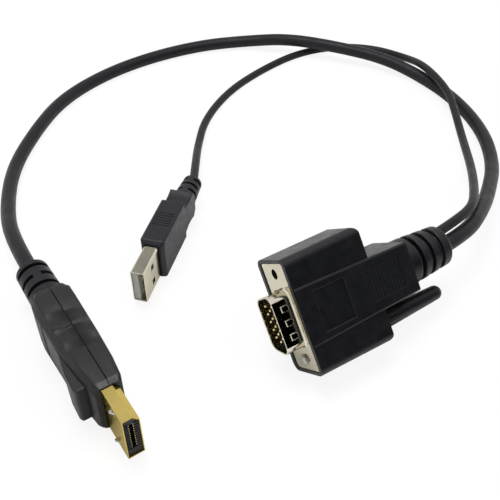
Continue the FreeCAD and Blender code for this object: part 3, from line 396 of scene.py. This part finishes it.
def room_beside(edge):
    """Least distance across an edge's two faces to an edge that lies beside it."""
    least = math.inf
    first, last = (v.co for v in edge.verts)
    along = (last - first).normalized()
    for face in edge.link_faces:
        for other in face.edges:
            if not set(edge.verts).isdisjoint(other.verts):
                continue
            a, b = (v.co for v in other.verts)
            for probe in (first, (first + last) / 2, last):
                share = intersect_point_line(probe, a, b)[1]
                way = a.lerp(b, min(max(share, 0), 1)) - probe
                if abs(way.dot(along)) < BESIDE * way.length:
                    least = min(least, way.length)
    return least


def opening(edge, other, corner):
    """Angle between two edges at their common corner."""
    return (edge.other_vert(corner).co - corner.co).angle(other.other_vert(corner).co - corner.co, 0)


def free_width(edge, sharp):
    """Widest rounding of an edge that keeps clear of the edges round it."""
    widest = SHARE * room_beside(edge)
    for face in edge.link_faces:
        for corner in edge.verts:
            near = next(e for e in corner.link_edges if e is not edge and face in e.link_faces)
            turn = opening(edge, near, corner)
            if turn > STRAIGHT:
                continue
            if near in sharp:
                reach = min(edge.calc_length(), near.calc_length()) * math.tan(turn / 2)
            else:
                reach = near.calc_length() * math.sin(turn)
            widest = min(widest, SHARE * reach)
    return widest


def even_out(widths):
    """Gives edges that run on into each other the least width among them."""
    left = set(widths)
    while left:
        line = [left.pop()]
        for edge in line:
            for corner in edge.verts:
                onward = [e for e in corner.link_edges if e in left and opening(edge, e, corner) > STRAIGHT]
                left.difference_update(onward)
                line.extend(onward)
        least = min(widths[edge] for edge in line)
        widths.update((edge, least) for edge in line)


def soften(node, name, edge, segments=2, before=None, skip=None, weighting="FACE_AREA"):
    """Copy of a CAD node with its sharp edges rounded as far as there is room, in the node's place.

    The copy may be reshaped before the rounding, and some of its edges may be skipped."""
    shape = bmesh.new()
    shape.from_mesh(NODES[node].data)
    bmesh.ops.remove_doubles(shape, verts=shape.verts, dist=WELD)
    if before:
        before(shape)
    bmesh.ops.dissolve_limit(shape, angle_limit=FLAT, verts=shape.verts, edges=shape.edges)
    weight = shape.edges.layers.float.new("bevel_weight_edge")
    sharp = {e for e in shape.edges if e.is_manifold and e.calc_face_angle() > SHARP}
    widths = {e: free_width(e, sharp) for e in sharp if not (skip and skip(e))}
    even_out(widths)
    for side, width in widths.items():
        side[weight] = min(1, width / edge)
    mesh = bpy.data.meshes.new(name)
    shape.to_mesh(mesh)
    shape.free()
    mesh.shade_smooth()
    mesh.set_sharp_from_angle(angle=SHARP)
    mesh.materials.append(finish(SLOT_OF[node]))
    piece = seated(name, mesh, BODY_OF[node], SLOT_OF[node], node)
    bevel = piece.modifiers.new("Rounded edges", "BEVEL")
    bevel.limit_method = "WEIGHT"
    bevel.width = edge
    bevel.segments = segments
    bevel.use_clamp_overlap = False
    shine = piece.modifiers.new("Flat faces", "WEIGHTED_NORMAL")
    shine.keep_sharp = True
    shine.mode = weighting
    return piece


def on_seam(edge):
    """Whether an edge runs along the display covers' parting line."""
    return all(abs((v.co - DISPLAY_FACE).dot(DISPLAY_SIDE)) < HALF_SEAM for v in edge.verts)


def shut_front(shape):
    """Runs the covers' seam out at their front, where its groove would open onto the shell."""
    for corner in shape.verts:
        away = corner.co - DISPLAY_FACE
        aside = away.dot(DISPLAY_SIDE)
        if away.dot(DISPLAY_AXIS) > -COVER_FRONT and abs(aside) < HALF_SEAM:
            corner.co -= SEAM_CLOSED * aside * DISPLAY_SIDE


def plate(node):
    """Gives a CAD node its finish."""
    mesh = NODES[node].data
    mesh.materials.clear()
    mesh.materials.append(finish(SLOT_OF[node]))


def new_tree(name, inputs):
    """Geometry node tree with named inputs; returns it with its group input and output."""
    tree = bpy.data.node_groups.new(name, "GeometryNodeTree")
    for label, default in inputs.items():
        kind = "NodeSocketMaterial" if isinstance(default, bpy.types.Material) else "NodeSocketFloat"
        socket = tree.interface.new_socket(label, in_out="INPUT", socket_type=kind)
        socket.default_value = default
    tree.interface.new_socket("Geometry", in_out="OUTPUT", socket_type="NodeSocketGeometry")
    return tree, tree.nodes.new("NodeGroupInput"), tree.nodes.new("NodeGroupOutput")


def arithmetic(tree, operation, first, second):
    """Math node whose operands are sockets or numbers."""
    node = tree.nodes.new("ShaderNodeMath")
    node.operation = operation
    for socket, operand in zip(node.inputs, (first, second)):
        if isinstance(operand, (int, float)):
            socket.default_value = operand
        else:
            tree.links.new(operand, socket)
    return node.outputs["Value"]


def grown(tree, values, name, place):
    """Evaluates a tree on a carrier object and returns the result as a plain mesh in its place."""
    carrier = placed(name + "_carrier", bpy.data.meshes.new(name + "_carrier"))
    modifier = carrier.modifiers.new("Tree", "NODES")
    modifier.node_group = tree
    for item in tree.interface.items_tree:
        if item.in_out == "INPUT":
            modifier[item.identifier] = values[item.name]
    carrier.update_tag()
    depsgraph = bpy.context.evaluated_depsgraph_get()
    mesh = bpy.data.meshes.new_from_object(carrier.evaluated_get(depsgraph))
    carrier.modifiers.remove(modifier)
    bpy.data.objects.remove(carrier)
    if not mesh.polygons:
        raise RuntimeError(name + " came out empty")
    mesh.name = name
    mesh.transform(place)
    mesh.shade_smooth()
    mesh.set_sharp_from_angle(angle=SHARP)
    return mesh


# Operators

class YCABLE_OT_finishes(bpy.types.Operator):
    """Make the finishes and give them to the CAD nodes"""
    bl_idname = "ycable.finishes"
    bl_label = "Finishes"

    def execute(self, context):
        make_materials()
        for node in NODES:
            plate(node)
        return {"FINISHED"}


class YCABLE_OT_d_plug(bpy.types.Operator):
    """Round the edges of the D plug's hood, front shell and knob"""
    bl_idname = "ycable.d_plug"
    bl_label = "D plug"

    def execute(self, context):
        plastic = settings().mouldings
        soften("dsub_hood", "hood", plastic.edge)
        soften("dsub_shell", "d_shell", settings().metals.sheet_edge)
        soften("thumbscrew_knob", "knob", plastic.fine_edge)
        return {"FINISHED"}


class YCABLE_OT_pins(bpy.types.Operator):
    """Set the round-nosed pins of the D plug in their rows"""
    bl_idname = "ycable.pins"
    bl_label = "Pins"

    def execute(self, context):
        metal = settings().metals
        values = {"Diameter": metal.pin_diameter, "Length": metal.pin_length, "Nose": metal.pin_nose,
                  "Front": metal.pin_front, "Pitch": metal.pin_pitch, "Row Pitch": metal.row_pitch,
                  "Plating": finish("contact")}
        mesh = grown(pin_field_tree(values), values, "pins", D_PLACE)
        seated("pins", mesh, BODY_OF["dsub_pins"], "contact", "dsub_pins")
        return {"FINISHED"}


def pin_field_tree(inputs):
    """Rows of pins along the plug, each a line swept with a rounded nose."""
    tree, given, made = new_tree("Pin Field", inputs)
    link = tree.links.new
    rows = 3
    columns = 5
    grid = tree.nodes.new("GeometryNodeMeshGrid")
    grid.inputs["Vertices X"].default_value = rows
    grid.inputs["Vertices Y"].default_value = columns
    link(arithmetic(tree, "MULTIPLY", given.outputs["Row Pitch"], rows - 1), grid.inputs["Size X"])
    link(arithmetic(tree, "MULTIPLY", given.outputs["Pitch"], columns - 1), grid.inputs["Size Y"])
    where = tree.nodes.new("GeometryNodeInputPosition")
    parts = tree.nodes.new("ShaderNodeSeparateXYZ")
    link(where.outputs["Position"], parts.inputs["Vector"])
    row = arithmetic(tree, "DIVIDE", parts.outputs["X"], given.outputs["Row Pitch"])
    outer = arithmetic(tree, "ROUND", arithmetic(tree, "ABSOLUTE", row, 0), 0)
    sway = arithmetic(tree, "SUBTRACT", arithmetic(tree, "MULTIPLY", outer, 2), 1)
    shift = arithmetic(tree, "MULTIPLY", sway, arithmetic(tree, "DIVIDE", given.outputs["Pitch"], 4))
    across = tree.nodes.new("ShaderNodeCombineXYZ")
    link(parts.outputs["X"], across.inputs["X"])
    link(arithmetic(tree, "MULTIPLY", given.outputs["Front"], -1), across.inputs["Y"])
    link(arithmetic(tree, "ADD", parts.outputs["Y"], shift), across.inputs["Z"])
    noses = tree.nodes.new("GeometryNodeSetPosition")
    link(grid.outputs["Mesh"], noses.inputs["Geometry"])
    link(across.outputs["Vector"], noses.inputs["Position"])
    axis = tree.nodes.new("GeometryNodeCurvePrimitiveLine")
    back = tree.nodes.new("ShaderNodeCombineXYZ")
    link(given.outputs["Length"], back.inputs["Y"])
    link(back.outputs["Vector"], axis.inputs["End"])
    steps = tree.nodes.new("GeometryNodeResampleCurve")
    steps.inputs["Count"].default_value = PIN_STEPS
    link(axis.outputs["Curve"], steps.inputs["Curve"])
    along = tree.nodes.new("GeometryNodeSplineParameter")
    reach = arithmetic(tree, "DIVIDE", along.outputs["Length"], given.outputs["Nose"])
    short = arithmetic(tree, "SUBTRACT", 1, arithmetic(tree, "MINIMUM", reach, 1))
    swell = arithmetic(tree, "SQRT", arithmetic(tree, "SUBTRACT", 1, arithmetic(tree, "POWER", short, 2)), 0)
    round_section = tree.nodes.new("GeometryNodeCurvePrimitiveCircle")
    round_section.inputs["Resolution"].default_value = PIN_SIDES
    link(arithmetic(tree, "DIVIDE", given.outputs["Diameter"], 2), round_section.inputs["Radius"])
    pin = tree.nodes.new("GeometryNodeCurveToMesh")
    pin.inputs["Fill Caps"].default_value = True
    link(steps.outputs["Curve"], pin.inputs["Curve"])
    link(round_section.outputs["Curve"], pin.inputs["Profile Curve"])
    link(swell, pin.inputs["Scale"])
    spread = tree.nodes.new("GeometryNodeInstanceOnPoints")
    link(noses.outputs["Geometry"], spread.inputs["Points"])
    link(pin.outputs["Mesh"], spread.inputs["Instance"])
    finish_tree(tree, spread.outputs["Instances"], given.outputs["Plating"], made)
    return tree


def finish_tree(tree, instances, material, made):
    """Ends a tree: real geometry, welded poles and its material."""
    real = tree.nodes.new("GeometryNodeRealizeInstances")
    welded = tree.nodes.new("GeometryNodeMergeByDistance")
    welded.inputs["Distance"].default_value = WELD
    painted = tree.nodes.new("GeometryNodeSetMaterial")
    tree.links.new(instances, real.inputs["Geometry"])
    tree.links.new(real.outputs["Geometry"], welded.inputs["Geometry"])
    tree.links.new(welded.outputs["Geometry"], painted.inputs["Geometry"])
    tree.links.new(material, painted.inputs["Material"])
    tree.links.new(painted.outputs["Geometry"], made.inputs["Geometry"])


class YCABLE_OT_screw(bpy.types.Operator):
    """Turn the thumbscrew's shank with the thread at its tip"""
    bl_idname = "ycable.screw"
    bl_label = "Screw"

    def execute(self, context):
        metal = settings().metals
        low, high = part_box("thumbscrew_shank")
        values = {"Diameter": high.x - low.x, "Length": high.y - low.y, "Pitch": metal.thread_pitch,
                  "Depth": metal.thread_depth, "Thread": metal.thread_length, "Plating": finish("screw")}
        tip = Vector(((low.x + high.x) / 2, low.y, (low.z + high.z) / 2))
        place = Matrix.Translation(tip) @ Matrix.Rotation(-math.pi / 2, 4, "X")
        mesh = grown(screw_tree(values), values, "screw", place)
        seated("screw", mesh, BODY_OF["thumbscrew_shank"], "screw", "thumbscrew_shank")
        return {"FINISHED"}


def screw_tree(inputs):
    """Shank along Z from its tip, thinner where a spiral ridge makes the thread."""
    tree, given, made = new_tree("Screw", inputs)
    link = tree.links.new
    radius = arithmetic(tree, "DIVIDE", given.outputs["Diameter"], 2)
    core = arithmetic(tree, "SUBTRACT", radius, given.outputs["Depth"])
    joined = tree.nodes.new("GeometryNodeJoinGeometry")
    stretches = ((core, given.outputs["Depth"], given.outputs["Thread"]),
                 (radius, given.outputs["Thread"], given.outputs["Length"]))
    for size, start, end in stretches:
        rod = tree.nodes.new("GeometryNodeMeshCylinder")
        rod.inputs["Vertices"].default_value = SCREW_SIDES
        link(size, rod.inputs["Radius"])
        link(arithmetic(tree, "SUBTRACT", end, start), rod.inputs["Depth"])
        centre = tree.nodes.new("ShaderNodeCombineXYZ")
        link(arithmetic(tree, "DIVIDE", arithmetic(tree, "ADD", start, end), 2), centre.inputs["Z"])
        moved = tree.nodes.new("GeometryNodeTransform")
        link(rod.outputs["Mesh"], moved.inputs["Geometry"])
        link(centre.outputs["Vector"], moved.inputs["Translation"])
        link(moved.outputs["Geometry"], joined.inputs["Geometry"])
    nose = tree.nodes.new("GeometryNodeMeshCone")
    nose.inputs["Vertices"].default_value = SCREW_SIDES
    link(core, nose.inputs["Radius Top"])
    link(arithmetic(tree, "SUBTRACT", core, given.outputs["Depth"]), nose.inputs["Radius Bottom"])
    link(given.outputs["Depth"], nose.inputs["Depth"])
    link(nose.outputs["Mesh"], joined.inputs["Geometry"])
    turns = arithmetic(tree, "DIVIDE", given.outputs["Thread"], given.outputs["Pitch"])
    spiral = tree.nodes.new("GeometryNodeCurveSpiral")
    spiral.inputs["Resolution"].default_value = SCREW_SIDES
    link(turns, spiral.inputs["Rotations"])
    link(core, spiral.inputs["Start Radius"])
    link(core, spiral.inputs["End Radius"])
    rise = arithmetic(tree, "SUBTRACT", given.outputs["Thread"], given.outputs["Depth"])
    link(rise, spiral.inputs["Height"])
    lifted = tree.nodes.new("GeometryNodeTransform")
    base = tree.nodes.new("ShaderNodeCombineXYZ")
    link(given.outputs["Depth"], base.inputs["Z"])
    link(spiral.outputs["Curve"], lifted.inputs["Geometry"])
    link(base.outputs["Vector"], lifted.inputs["Translation"])
    ridge = tree.nodes.new("GeometryNodeCurvePrimitiveCircle")
    ridge.inputs["Resolution"].default_value = RIDGE_SIDES
    link(given.outputs["Depth"], ridge.inputs["Radius"])
    swept = tree.nodes.new("GeometryNodeCurveToMesh")
    swept.inputs["Fill Caps"].default_value = True
    link(lifted.outputs["Geometry"], swept.inputs["Curve"])
    link(ridge.outputs["Curve"], swept.inputs["Profile Curve"])
    link(swept.outputs["Mesh"], joined.inputs["Geometry"])
    finish_tree(tree, joined.outputs["Geometry"], given.outputs["Plating"], made)
    return tree


class YCABLE_OT_data_plug(bpy.types.Operator):
    """Round the edges of the data plug's moulding and shell"""
    bl_idname = "ycable.data_plug"
    bl_label = "Data plug"

    def execute(self, context):
        soften("data_plug_body", "data_body", settings().mouldings.edge)
        soften("data_plug_shell", "data_shell", settings().metals.sheet_edge)
        return {"FINISHED"}


class YCABLE_OT_display_plug(bpy.types.Operator):
    """Round the edges of the display plug's covers, button, boot and shell"""
    bl_idname = "ycable.display_plug"
    bl_label = "Display plug"

    def execute(self, context):
        plastic = settings().mouldings
        for name in ("cover_plain", "cover_latch"):
            soften("video_plug_" + name, name, plastic.edge, before=shut_front, skip=on_seam,
                   weighting="CORNER_ANGLE")
        soften("video_plug_button", "button", plastic.button_edge, segments=3)
        soften("video_plug_boot", "display_boot", plastic.fine_edge)
        soften("video_plug_shell", "display_shell", settings().metals.sheet_edge)
        return {"FINISHED"}


class YCABLE_OT_comb(bpy.types.Operator):
    """Set the ribs between the contacts on the display plug's face"""
    bl_idname = "ycable.comb"
    bl_label = "Comb"

    def execute(self, context):
        metal = settings().metals
        values = {"Slot": metal.slot_depth, "Pitch": metal.comb_pitch, "Rib": metal.comb_rib,
                  "Reach": metal.comb_reach, "Height": metal.comb_height, "Plastic": finish("insulator")}
        place = DISPLAY_PLACE @ Matrix.Translation((0, FACE_SINK, 0))
        mesh = grown(comb_tree(values), values, "comb", place)
        seated("comb", mesh, BODY_OF["video_plug_insulator"], "insulator")
        return {"FINISHED"}


def comb_tree(inputs):
    """Two rows of upright ribs, one on each side of the slot, standing towards minus Y."""
    tree, given, made = new_tree("Comb", inputs)
    link = tree.links.new
    rows = 2
    ribs = 11
    grid = tree.nodes.new("GeometryNodeMeshGrid")
    grid.inputs["Vertices X"].default_value = rows
    grid.inputs["Vertices Y"].default_value = ribs
    link(arithmetic(tree, "ADD", given.outputs["Slot"], given.outputs["Reach"]), grid.inputs["Size X"])
    link(arithmetic(tree, "MULTIPLY", given.outputs["Pitch"], ribs - 1), grid.inputs["Size Y"])
    raised = tree.nodes.new("GeometryNodeTransform")
    raised.inputs["Rotation"].default_value = (math.pi / 2, 0, 0)
    centre = tree.nodes.new("ShaderNodeCombineXYZ")
    link(arithmetic(tree, "DIVIDE", given.outputs["Height"], -2), centre.inputs["Y"])
    link(grid.outputs["Mesh"], raised.inputs["Geometry"])
    link(centre.outputs["Vector"], raised.inputs["Translation"])
    size = tree.nodes.new("ShaderNodeCombineXYZ")
    link(given.outputs["Reach"], size.inputs["X"])
    link(given.outputs["Height"], size.inputs["Y"])
    link(given.outputs["Rib"], size.inputs["Z"])
    rib = tree.nodes.new("GeometryNodeMeshCube")
    link(size.outputs["Vector"], rib.inputs["Size"])
    spread = tree.nodes.new("GeometryNodeInstanceOnPoints")
    link(raised.outputs["Geometry"], spread.inputs["Points"])
    link(rib.outputs["Mesh"], spread.inputs["Instance"])
    finish_tree(tree, spread.outputs["Instances"], given.outputs["Plastic"], made)
    return tree


class YCABLE_OT_cords(bpy.types.Operator):
    """Lay the thick and the thin cord along their routes"""
    bl_idname = "ycable.cords"
    bl_label = "Cords"

    def execute(self, context):
        cords = settings().cords
        lay_cord("thick_cord", THICK_ROUTE, cords.thick, "video_cord")
        lay_cord("thin_cord", THIN_ROUTE, cords.thin, "data_cord")
        return {"FINISHED"}


def lay_cord(name, route, diameter, node):
    """One smooth cord with the route's points as its control points."""
    curve = bpy.data.curves.new(name, "CURVE")
    curve.dimensions = "3D"
    curve.bevel_depth = diameter / 2
    curve.bevel_resolution = settings().cords.sides
    curve.resolution_u = CORD_STEPS
    curve.use_fill_caps = True
    spline = curve.splines.new("NURBS")
    spline.points.add(len(route) - 1)
    for point, place in zip(spline.points, route):
        point.co = (*place, 1)
    spline.order_u = CORD_ORDER
    spline.use_endpoint_u = True
    curve.materials.append(finish("cord"))
    piece = seated(name, curve, BODY_OF[node], "cord", node)


class YCABLE_OT_stage(bpy.types.Operator):
    """Set up the white floor, the cards, the soft lamps and the camera"""
    bl_idname = "ycable.stage"
    bl_label = "Stage"

    def execute(self, context):
        lay_floor()
        light_world()
        stage = settings().stage
        broad = D_PLACE.to_3x3() @ Vector((1, 0, 0))
        hang_card("dark_card", D_FACE, broad, stage.card_size, shade=0.0)
        hang_card("grey_card", DATA_FACE, UP, stage.grey_size, shade=stage.grey)
        hang_lamp("overhead_lamp", stage.overhead, mirrored=False, **OVERHEAD_LAMP)
        hang_lamp("side_lamp", stage.side, mirrored=False, **SIDE_LAMP)
        spare_metals(hang_lamp("soft_box", stage.soft_box, mirrored=True, **SOFT_BOX))
        edge_lamp = hang_lamp("edge_lamp", stage.edge_lamp, mirrored=True, **EDGE_LAMP)
        light_only(edge_lamp, "cover_plain", "cover_latch", "button")
        set_camera()
        context.scene.view_settings.view_transform = "Standard"
        return {"FINISHED"}


def seen_directly(tree):
    """1 for camera, glossy and transmission rays, 0 for light that falls on the object."""
    path = tree.nodes.new("ShaderNodeLightPath")
    total = arithmetic(tree, "ADD", path.outputs["Is Camera Ray"], path.outputs["Is Glossy Ray"])
    total = arithmetic(tree, "ADD", total, path.outputs["Is Transmission Ray"])
    return arithmetic(tree, "MINIMUM", total, 1)


def plain_grey(tree, kind, shade):
    """Shader of a kind in one grey."""
    shader = tree.nodes.new(kind)
    shader.inputs["Color"].default_value = (shade, shade, shade, 1)
    return shader.outputs[0]


def blended(tree, share, first, second):
    """From the first shader to the second one by a share."""
    mix = tree.nodes.new("ShaderNodeMixShader")
    tree.links.new(share, mix.inputs["Fac"])
    tree.links.new(first, mix.inputs[1])
    tree.links.new(second, mix.inputs[2])
    return mix.outputs[0]


def lay_floor():
    """White floor that keeps a shadow near the cable, faint to the camera, and runs out into plain white."""
    stage = settings().stage
    floor = square("floor", FLOOR_HALF)
    material, tree, shader = principled("floor_white")
    tree.nodes.remove(shader)
    lighting = plain_grey(tree, "ShaderNodeBsdfDiffuse", FLOOR_GREY)
    shadowed = plain_grey(tree, "ShaderNodeBsdfDiffuse", 1)
    white = plain_grey(tree, "ShaderNodeEmission", 1)
    path = tree.nodes.new("ShaderNodeLightPath")
    extra = arithmetic(tree, "MULTIPLY", path.outputs["Is Camera Ray"], stage.floor_glow - stage.mirror_glow)
    glow = arithmetic(tree, "ADD", extra, stage.mirror_glow)
    near = blended(tree, glow, shadowed, white)
    where = tree.nodes.new("ShaderNodeTexCoord")
    away = tree.nodes.new("ShaderNodeVectorMath")
    away.operation = "LENGTH"
    tree.links.new(where.outputs["Object"], away.inputs[0])
    fade = tree.nodes.new("ShaderNodeMapRange")
    fade.inputs["From Min"].default_value = FADE_START
    fade.inputs["From Max"].default_value = FADE_END
    tree.links.new(away.outputs["Value"], fade.inputs["Value"])
    seen = blended(tree, fade.outputs["Result"], near, white)
    surface = blended(tree, seen_directly(tree), lighting, seen)
    tree.links.new(surface, tree.nodes["Material Output"].inputs["Surface"])
    floor.data.materials.append(material)


def square(name, half):
    """Flat square of the stage, looking up."""
    corners = [(-half, -half, 0), (half, -half, 0), (half, half, 0), (-half, half, 0)]
    mesh = bpy.data.meshes.new(name)
    mesh.from_pydata(corners, [], [(0, 1, 2, 3)])
    sheet = placed(name, mesh)
    return sheet


def hang_card(name, spot, facing, size, shade):
    """Card that only mirrors see, square to what a face at the spot mirrors to the camera."""
    stage = settings().stage
    view = (spot - Vector(stage.eye)).normalized()
    away = view.reflect(facing)
    card = square(name, size / 2)
    card.location = spot + away * stage.card_reach
    card.rotation_euler = away.to_track_quat("-Z", "Y").to_euler()
    material, tree, shader = principled(name)
    tree.nodes.remove(shader)
    surface = plain_grey(tree, "ShaderNodeEmission", shade)
    tree.links.new(surface, tree.nodes["Material Output"].inputs["Surface"])
    card.data.materials.append(material)
    card.visible_camera = False
    card.visible_diffuse = False
    card.visible_transmission = False
    card.visible_shadow = False


def light_world():
    """Even light from all round; what looks straight at it sees white."""
    world = bpy.data.worlds.new("studio")
    world.use_nodes = True
    bpy.context.scene.world = world
    tree = world.node_tree
    background = tree.nodes["Background"]
    background.inputs["Color"].default_value = (1, 1, 1, 1)
    dim = settings().stage.world
    strength = arithmetic(tree, "ADD", arithmetic(tree, "MULTIPLY", seen_directly(tree), 1 - dim), dim)
    tree.links.new(strength, background.inputs["Strength"])


def hang_lamp(name, power, mirrored, place, target, size):
    """Round soft lamp, shown in glossy pieces or not."""
    lamp = bpy.data.lights.new(name, "AREA")
    lamp.shape = "DISK"
    lamp.size = size
    lamp.energy = power
    holder = placed(name, lamp)
    holder.location = place
    holder.rotation_euler = (Vector(target) - Vector(place)).to_track_quat("-Z", "Y").to_euler()
    holder.visible_glossy = mirrored
    return holder


def spare_metals(lamp):
    """Keeps a lamp off the plated pieces, which would mirror it as a burnt patch."""
    spared = bpy.data.collections.new(lamp.name + "_spared")
    metals = {finish(slot) for slot in METAL_SLOTS}
    for piece in bpy.data.objects:
        if piece.type == "MESH" and metals.intersection(piece.data.materials):
            spared.objects.link(piece)
    lamp.light_linking.receiver_collection = spared
    for entry in spared.collection_objects:
        entry.light_linking.link_state = "EXCLUDE"


def light_only(lamp, *names):
    """Lets a lamp show in the gloss of the named pieces alone."""
    lit = bpy.data.collections.new(lamp.name + "_lit")
    for name in names:
        lit.objects.link(bpy.data.objects[name])
    lamp.light_linking.receiver_collection = lit
    lamp.visible_diffuse = False


def set_camera():
    stage = settings().stage
    camera = bpy.data.cameras.new("camera")
    camera.sensor_width = FILM_WIDTH
    camera.lens = stage.lens
    camera.clip_start = NEAR_CLIP
    holder = placed("camera", camera)
    holder.location = stage.eye
    holder.rotation_euler = (stage.tilt, 0, stage.azimuth)
    bpy.context.scene.camera = holder


STEPS = (YCABLE_OT_finishes, YCABLE_OT_d_plug, YCABLE_OT_pins, YCABLE_OT_screw, YCABLE_OT_data_plug,
         YCABLE_OT_display_plug, YCABLE_OT_comb, YCABLE_OT_cords, YCABLE_OT_stage)


class YCABLE_PT_panel(bpy.types.Panel):
    """Lists the steps that dress the cable"""
    bl_label = "Y Cable"
    bl_idname = "YCABLE_PT_panel"
    bl_space_type = "VIEW_3D"
    bl_region_type = "UI"
    bl_category = "Y Cable"

    def draw(self, context):
        for step in STEPS:
            self.layout.operator(step.bl_idname)


CLASSES = (YCableMouldings, YCableMetals, YCableCords, YCableStage, YCableSettings, *STEPS, YCABLE_PT_panel)


def register():
    for item in CLASSES:
        bpy.utils.register_class(item)
    bpy.types.Scene.y_cable = PointerProperty(type=YCableSettings)


def unregister():
    del bpy.types.Scene.y_cable
    for item in reversed(CLASSES):
        bpy.utils.unregister_class(item)


def main():
    register()
    bpy.ops.ycable.finishes()
    bpy.ops.ycable.d_plug()
    bpy.ops.ycable.pins()
    bpy.ops.ycable.screw()
    bpy.ops.ycable.data_plug()
    bpy.ops.ycable.display_plug()
    bpy.ops.ycable.comb()
    bpy.ops.ycable.cords()
    bpy.ops.ycable.stage()


if __name__ == "__main__":
    main()
